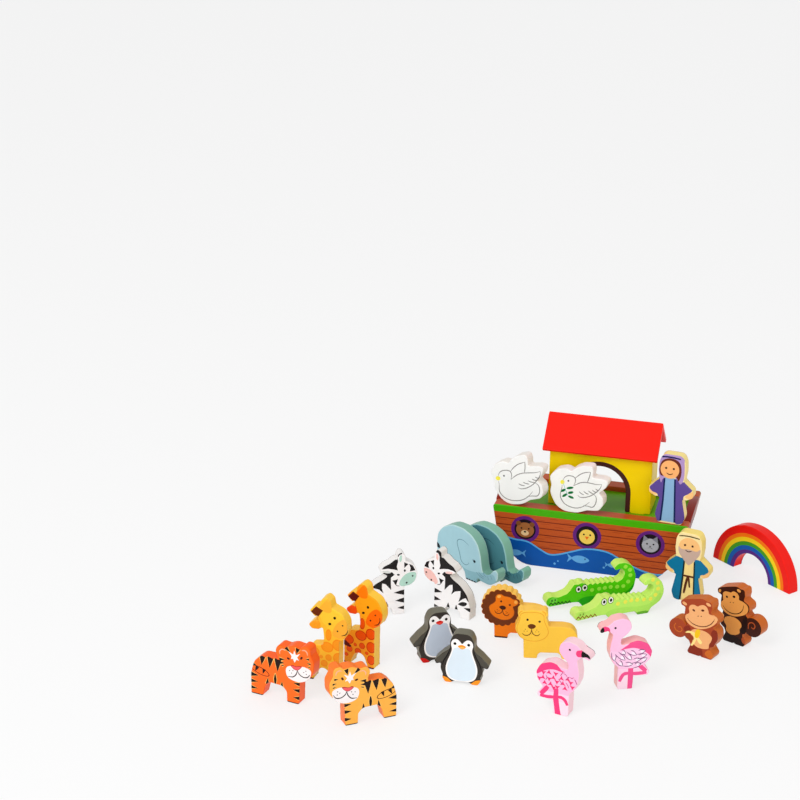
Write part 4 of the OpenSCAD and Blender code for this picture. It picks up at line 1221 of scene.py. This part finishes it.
# %% Draw the brown monkey and print both
BROWN_MONKEY = {
    "limb": (0.13, 0.06, 0.05),
    "limbs": [patch((-1.6, -0.8), (-1.4, 3.4), (1.8, 6.2), (7.6, 6.6), (13.4, 5.8), (16.4, 2.6),
                    (15.4, -0.8)),
              patch((14.4, 17.6), (15.6, 23.4), (18.6, 25.0), (18.8, 14.0), (15.2, 11.0),
                    (13.2, 13.6))],
    "sole": (0.66, 0.30, 0.14),
    "soles": [oval(17.2, 5.4, 1.8, 2.6, 20),
              line(0.9, (20.6, 16.6), (20.4, 20.4), (22.4, 22.4), (25.2, 22.0), (26.0, 19.6),
                   (24.6, 17.8), (22.8, 18.8), tip=0.6)],
    "skin": (0.88, 0.60, 0.30),
    "skins": [patch((-4.5, 31.0), (-4.2, 27.4), (-1.8, 24.6), (2.4, 22.8), (7.6, 22.8),
                    (13.0, 24.8), (17.4, 27.8), (19.2, 31.4), (18.2, 35.0), (14.4, 37.0),
                    (10.9, 37.6), (10.4, 40.4), (8.4, 42.6), (5.4, 43.0), (3.2, 41.4),
                    (1.0, 41.2), (-1.6, 40.8), (-3.5, 38.8), (-3.2, 35.4), (-3.0, 33.0)),
              patch((-1.0, 16.2), (0.2, 19.8), (4.2, 21.7), (9.2, 21.6), (13.2, 19.6),
                    (14.5, 16.4), (13.0, 13.4), (13.2, 10.4), (9.8, 7.8), (5.0, 7.0),
                    (1.4, 9.2), (1.4, 12.8)),
              oval(-6.4, 39.8, 1.0, 1.4, -20), oval(10.0, 45.0, 1.7, 1.2, -15)],
    "dark": (0.14, 0.06, 0.04),
    "smiles": [line(0.7, (-2.8, 28.8), (-0.4, 26.2), (3.6, 24.7), (8.0, 25.0), (12.0, 27.0),
                    (14.4, 30.4), (15.0, 34.4)),
               oval(3.4, 33.2, 0.42), oval(6.0, 33.8, 0.42), oval(0.1, 36.8, 1.0, 0.85, -15),
               oval(6.2, 38.8, 1.25, 0.95, 15)],
    "more": [],
}


def monkey_drawing(tone, ink):
    return [
        ("monkey_limb_" + tone, ink["limb"], ink["limbs"]),
        ("monkey_sole_" + tone, ink["sole"], ink["soles"]),
        ("monkey_skin_" + tone, ink["skin"], ink["skins"]),
        ("monkey_smile_" + tone, ink["dark"], ink["smiles"]),
        *ink["more"],
    ]


MONKEYS = {"monkey_with_banana": (-18.10, monkey_drawing("light", LIGHT_MONKEY)),
           "monkey_brown": (-8.40, monkey_drawing("brown", BROWN_MONKEY))}
for node, (left, layers) in MONKEYS.items():
    print_figure(node, layers, left)


# %% [markdown]
# ## The robed man
# Both robed figures wear a long robe with dark borders over a straight under-robe, with their
# hands on their hips. The man has a beard and a cord for a belt. The faces are the plain kind
# that such figures have: two dots and a small curved smile, the same on both.

# %% Draw and print the robed man
PLAIN_EYES = [oval(-3.1, 48.4, 0.9, 0.95), oval(3.1, 48.4, 0.9, 0.95)]
PLAIN_SMILE = line(0.7, (-2.6, 44.3), (0.0, 43.2), (2.6, 44.3), tip=0.6)
PLAIN_FACE = PLAIN_EYES + [PLAIN_SMILE]
ROBED_LEFT = -18.16


def robed_man_drawing():
    left_robe = patch((-10.2, 37.4), (-14.0, 33.8), (-17.2, 30.2), (-14.0, 26.6), (-10.8, 24.4),
                      (-10.2, 18.0), (-12.0, 9.0), (-12.4, 3.6), (-9.0, 0.8), (-4.6, 0.8),
                      (-3.6, 12.0), (-3.0, 26.0), (-2.6, 35.4), (-6.0, 37.0))
    right_robe = patch((5.4, 36.4), (10.4, 37.2), (14.0, 34.2), (17.4, 29.8), (14.2, 26.2),
                       (10.8, 24.2), (11.4, 14.0), (12.6, 4.4), (11.0, 0.8), (7.2, 0.8),
                       (6.2, 10.0), (5.4, 24.0))
    return [
        ("robe_hand", (0.98, 0.77, 0.50), [
            patch((-18.4, 27.6), (-17.6, 30.0), (-14.4, 27.6), (-11.4, 24.6), (-13.4, 23.2),
                  (-16.6, 24.0)),
            patch((18.4, 27.4), (17.6, 30.0), (14.4, 27.6), (11.4, 24.6), (13.4, 23.4),
                  (16.8, 24.2))]),
        ("robe_under_cream", (0.98, 0.86, 0.56), [
            corners((-3.6, 1.0), (7.0, 1.0), (6.0, 35.6), (-3.0, 35.6))]),
        ("robe_blue", (0.02, 0.45, 0.62), [left_robe, right_robe]),
        ("robe_border_dark", (0.03, 0.15, 0.16), [
            corners((-5.4, 0.9), (-4.0, 0.9), (-2.7, 20.0), (-2.2, 34.8), (-3.6, 35.0),
                    (-4.2, 20.0)),
            corners((7.2, 0.9), (6.0, 0.9), (5.3, 20.0), (4.9, 35.2), (6.1, 35.4),
                    (6.5, 20.0))]),
        ("robe_belt", (0.34, 0.15, 0.05), [
            corners((-2.9, 21.3), (5.4, 21.3), (5.4, 22.9), (-2.8, 22.9)),
            line(2.0, (0.6, 21.8), (-0.7, 14.0), (-1.8, 6.8), tip=0.6),
            line(1.5, (1.4, 21.8), (2.1, 17.0), (2.8, 12.6), tip=0.7)]),
        ("man_face", (0.98, 0.76, 0.49), [oval(0.6, 46.6, 8.7, 8.3)]),
        ("man_beard", (0.78, 0.67, 0.61), [
            patch((-8.2, 46.4), (-5.4, 44.6), (0.4, 45.2), (6.4, 44.6), (9.6, 46.6), (9.0, 41.6),
                  (5.2, 36.2), (0.6, 31.8), (-4.0, 36.4), (-7.6, 41.2))]),
        ("man_band", (0.30, 0.24, 0.07), [
            line(0.9, (-8.2, 55.4), (-4.0, 56.1), (1.0, 56.3), (8.6, 55.7), tip=0.8)]),
        ("man_ink", (0.24, 0.10, 0.08), PLAIN_FACE),
    ]


print_figure("robed_man", robed_man_drawing(), ROBED_LEFT)


# %% [markdown]
# ## The robed woman
# The woman's robe is open over a blue under-robe, and a scarf covers her hair down to the
# shoulders. The face lies on the hair and the hair on the scarf, so they are printed in the
# order scarf, hair, face.

# %% Draw and print the robed woman
def robed_woman_drawing():
    left_robe = patch((-10.6, 37.2), (-14.0, 33.6), (-17.4, 29.4), (-15.4, 26.0), (-11.0, 24.2),
                      (-10.0, 18.0), (-11.8, 9.0), (-11.8, 3.0), (-7.4, 1.4), (-6.4, 12.0),
                      (-6.2, 28.0), (-6.2, 38.8))
    right_robe = patch((3.0, 39.2), (6.6, 37.0), (11.0, 37.6), (14.4, 34.8), (17.0, 31.6),
                       (14.2, 28.2), (10.4, 25.0), (10.8, 18.0), (12.2, 9.0), (12.0, 3.0),
                       (4.8, 1.4), (4.2, 14.0), (3.2, 28.0))
    return [
        ("robe_hand", (0.98, 0.77, 0.50), [
            patch((18.8, 27.0), (17.4, 30.4), (14.4, 28.2), (11.4, 25.2), (13.4, 23.9),
                  (17.0, 24.4)),
            patch((-18.4, 27.2), (-17.4, 29.6), (-14.4, 26.6), (-11.4, 24.4), (-13.6, 23.2),
                  (-16.8, 24.2))]),
        ("robe_under_blue", (0.53, 0.69, 0.84), [
            corners((-6.6, 1.6), (4.0, 1.6), (2.8, 39.6), (-5.6, 39.6))]),
        ("robe_purple", (0.36, 0.28, 0.58), [left_robe, right_robe]),
        ("robe_border_navy", (0.06, 0.13, 0.33), [
            corners((-8.0, 1.6), (-6.5, 1.6), (-5.4, 20.0), (-5.1, 38.8), (-6.5, 39.0),
                    (-6.8, 20.0)),
            corners((5.0, 1.6), (3.5, 1.6), (2.7, 20.0), (2.0, 38.8), (3.3, 39.0),
                    (4.2, 20.0))]),
        ("woman_scarf", (0.69, 0.57, 0.78), [
            patch((-9.4, 56.6), (-8.4, 60.2), (0.0, 61.6), (8.2, 60.6), (9.6, 53.0),
                  (10.0, 45.0), (9.3, 38.4), (7.2, 35.4), (5.0, 38.0), (0.0, 42.0),
                  (-6.6, 38.6), (-8.4, 34.6), (-9.8, 38.4), (-11.2, 45.0), (-10.6, 52.0))]),
        ("woman_hair", (0.40, 0.16, 0.12), [
            patch((-10.4, 47.0), (-8.6, 53.0), (-4.4, 55.8), (1.2, 56.0), (5.6, 53.6),
                  (7.4, 48.4), (7.2, 42.0), (5.4, 37.6), (3.4, 40.6), (-2.0, 42.0),
                  (-7.4, 40.4), (-9.8, 42.0))]),
        ("woman_face", (0.98, 0.70, 0.44), [oval(-1.9, 46.6, 7.6, 7.7)]),
        ("woman_band", (0.10, 0.12, 0.36), [
            line(1.4, (-9.4, 56.6), (-5.0, 57.2), (1.0, 57.1), (6.4, 56.6), tip=0.8)]),
        ("woman_ink", (0.24, 0.10, 0.08), [moved(shape, (-1.9, -0.8)) for shape in PLAIN_FACE]),
    ]


print_figure("robed_woman", robed_woman_drawing(), ROBED_LEFT)


# %% [markdown]
# ## Rainbow
# The bands of the rainbow are whole discs in smaller and smaller sizes, one printed on the
# other. The board has the arch's hole, so only the bands are left of them.

# %% Draw and print the rainbow
BANDS = [("orange", (0.98, 0.48, 0.04), 36.6), ("yellow", (0.98, 0.84, 0.10), 33.4),
         ("green", (0.25, 0.62, 0.12), 29.8), ("blue", (0.04, 0.36, 0.72), 26.4),
         ("purple", (0.33, 0.15, 0.52), 22.8)]
RAINBOW_LEFT = -42.98
discs = [("rainbow_" + name, colour, [oval(0.0, -1.0, radius, steps=120)])
         for name, colour, radius in BANDS]
print_figure("rainbow", discs, RAINBOW_LEFT)


# %% [markdown]
# ## House walls
# The archway of the house has a dark band round it. The band is drawn as a whole arched door,
# and the board has the opening cut out, so only the band is left. Only the outer faces are
# printed, which look towards the viewer on the front wall and away on the back one.

# %% Draw and print the house walls
OUTWARD = {"front": TOWARDS_VIEWER, "back": Vector((0.0, 1.0, 0.0))}
WALL_LEFT = -42.0
BAND_HALF = 25.6
BAND_CROWN = 46.6
BAND_FOOT = 4.0


def arch_line(half_wide, crown, foot):
    spring = crown - half_wide
    turns = [math.pi * i / 48 for i in range(49)]
    round_top = [(half_wide * math.cos(a), spring + half_wide * math.sin(a)) for a in turns]
    return [(half_wide, foot)] + round_top + [(-half_wide, foot)]


for side, normal in OUTWARD.items():
    node = "house_" + side + "_wall"
    band = arch_line(BAND_HALF, BAND_CROWN, BAND_FOOT)
    print_drawing(node, ARK[node], Sheet(ARK[node], WALL_LEFT, normal=normal),
                  [("arch_band", (0.27, 0.13, 0.12), [band])], both_faces=False)


# %% [markdown]
# ## Planks and sea on the hull
# The hull's long boards are each one piece of wood. Their planks are printed: dark seams all
# along, and short faint streaks of grain between them. The sea is a blue shape under a wavy
# line, on a pale one that stands a little higher and is left as a crest.

# %% Seams, streaks and waves
PLANK_SEAMS = (39.6, 33.8, 28.0, 22.2, 16.4, 10.6, 4.8)
SEAM_WIDTH = 0.75
STREAK_WIDTH = 0.5
STREAKS_IN_A_PLANK = 11
PAST_THE_ENDS = 82.0
SEA_LINE = [(-81.0, 24.0), (-73.0, 24.6), (-66.0, 23.2), (-60.0, 22.2), (-54.0, 22.0),
            (-48.0, 20.6), (-40.0, 16.0), (-32.0, 12.4), (-24.0, 13.4), (-14.0, 17.0),
            (-4.0, 20.6), (6.0, 21.6), (16.0, 20.4), (24.0, 17.0), (32.0, 12.8),
            (40.0, 9.4), (48.0, 7.0), (56.0, 6.0), (64.0, 7.6), (72.0, 12.0), (81.0, 18.0)]
CREST = 1.3


def under(points, rise=0.0):
    path = [(x, z + rise) for x, z in smooth(points, closed=False)]
    return path + [(81.0, -1.0), (-81.0, -1.0)]


def plank_seams():
    end = PAST_THE_ENDS
    return [line(SEAM_WIDTH, (-end, z), (0.0, z + 0.2), (end, z), tip=0.9)
            for z in PLANK_SEAMS]


def grain_streaks():
    """Short faint strokes along the planks, spread by counting and not at random."""
    found = []
    for row, seam in enumerate(PLANK_SEAMS):
        for i in range(STREAKS_IN_A_PLANK):
            start = -80.0 + 14.6 * i + 3.7 * ((row * 5 + i * 3) % 4)
            z = seam + 1.3 + 0.95 * ((row * 3 + i * 2) % 4)
            reach = 7.0 + 1.5 * ((row + i * 5) % 5)
            found.append(line(STREAK_WIDTH, (start, z), (start + reach / 2, z + 0.15),
                              (start + reach, z), tip=0.2))
    return found


print(len(plank_seams()), "seams and", len(grain_streaks()), "streaks of grain")


# %% [markdown]
# ## Windows and fish
# Three round windows with a ring show a simple bear, a chick and a cat, and plain fish swim in
# the sea. A head is written round the middle of its window, and a fish round its own middle.

# %% Heads for the windows, and a fish
def bear_head(x, z):
    return [("window_bear", (0.62, 0.38, 0.20), [oval(x, z - 0.6, 7.4, 6.6)]),
            ("window_bear_ear", (0.50, 0.29, 0.14), [oval(x - 5.6, z + 4.8, 2.1),
                                                     oval(x + 5.6, z + 4.8, 2.1)]),
            ("window_bear_muzzle", (0.90, 0.76, 0.56), [oval(x, z - 3.2, 3.2, 2.4)]),
            ("window_ink", EYE_BLACK, [oval(x - 3.0, z + 0.8, 0.75), oval(x + 3.0, z + 0.8, 0.75),
                                       oval(x, z - 2.2, 1.1, 0.75)])]


def cat_head(x, z):
    return [("window_cat", (0.66, 0.66, 0.70), [oval(x, z - 1.0, 6.8, 6.0)]),
            ("window_cat_ear", (0.50, 0.50, 0.55), [
                corners((x - 6.2, z + 1.6), (x - 5.4, z + 7.4), (x - 1.4, z + 4.4)),
                corners((x + 6.2, z + 1.6), (x + 5.4, z + 7.4), (x + 1.4, z + 4.4))]),
            ("window_ink", EYE_BLACK, [
                oval(x - 2.6, z + 0.2, 0.75), oval(x + 2.6, z + 0.2, 0.75),
                corners((x - 0.9, z - 1.6), (x + 0.9, z - 1.6), (x, z - 2.6)),
                line(0.4, (x - 2.0, z - 3.6), (x, z - 3.0), (x + 2.0, z - 3.6))])]


def bird_head(x, z):
    return [("window_bird", (0.95, 0.80, 0.35), [oval(x, z - 0.6, 6.4, 6.4)]),
            ("window_bird_beak", (0.93, 0.45, 0.12), [
                corners((x - 1.8, z - 0.4), (x + 1.8, z - 0.4), (x, z - 3.4))]),
            ("window_ink", EYE_BLACK, [oval(x - 2.6, z + 1.2, 0.75),
                                       oval(x + 2.6, z + 1.2, 0.75)])]


def fish(x, z, size, heading=1.0):
    body = [(-7.0, 0.6), (-3.0, 3.2), (2.6, 3.0), (7.0, 0.2), (2.6, -2.6), (-3.0, -2.4)]
    tail = [(-6.0, 0.6), (-10.6, 4.2), (-9.2, 0.6), (-10.4, -3.2)]
    place = [[(x + heading * px * size, z + pz * size) for px, pz in part]
             for part in (body, tail)]
    return [patch(*place[0]), corners(*place[1])]


WINDOWS = [(-52.5, 31.5, bear_head), (-1.5, 32.0, bird_head), (50.0, 31.5, cat_head)]
print(len(WINDOWS), "windows")


# %% [markdown]
# ## Printing the hull
# The inks go on from the wood outwards: grain and seams, the green rail, the windows with their
# heads, and the sea with its fish, which lies over the lowest planks. The heads' inks of one
# name are gathered first, so that each ink is printed once.

# %% Draw and print the hull's long boards
HULL_LEFT = -79.63
RING = 11.6
PANE = 8.8
RAIL = bar(-PAST_THE_ENDS, 44.6, PAST_THE_ENDS, 52.0)


def hull_drawing():
    rings = [oval(x, z, RING, steps=48) for x, z, head in WINDOWS]
    panes = [oval(x, z, PANE, steps=40) for x, z, head in WINDOWS]
    bubbles = [oval(x, z, r) for x, z, r in ((-27, 4.2, 1.0), (-24.4, 6.8, 0.7), (13.4, 6.0, 0.9),
                                             (29.6, 6.2, 0.7), (64.8, 3.8, 0.7))]
    heads = {}
    for x, z, head in WINDOWS:
        for name, colour, shapes in head(x, z):
            heads.setdefault(name, (colour, []))[1].extend(shapes)
    inks = heads.pop("window_ink")
    return [
        ("hull_grain_streak", (0.65, 0.26, 0.10), grain_streaks()),
        ("hull_plank_seam", (0.45, 0.15, 0.06), plank_seams()),
        ("hull_rail_green", (0.27, 0.67, 0.02), [RAIL]),
        ("window_ring", (0.38, 0.12, 0.47), rings),
        ("window_dark", (0.10, 0.05, 0.10), panes),
        *[(name, colour, shapes) for name, (colour, shapes) in heads.items()],
        ("window_ink", *inks),
        ("sea_crest", (0.33, 0.66, 0.88), [under(SEA_LINE)]),
        ("sea_blue", (0.02, 0.33, 0.66), [under(SEA_LINE, -CREST)]),
        ("sea_fish", (0.38, 0.66, 0.88), fish(-6.0, 10.4, 1.05) + fish(-60.0, 9.6, 0.85, -1.0)
         + fish(20.4, 8.6, 0.6) + bubbles),
        ("sea_ink", (0.05, 0.12, 0.25), [oval(-2.2, 11.4, 0.6), oval(-63.2, 10.4, 0.5),
                                         oval(22.6, 9.2, 0.4)]),
    ]


for side, normal in OUTWARD.items():
    node = "hull_" + side
    print_drawing(node, ARK[node], Sheet(ARK[node], HULL_LEFT, normal=normal), hull_drawing(),
                  both_faces=False)
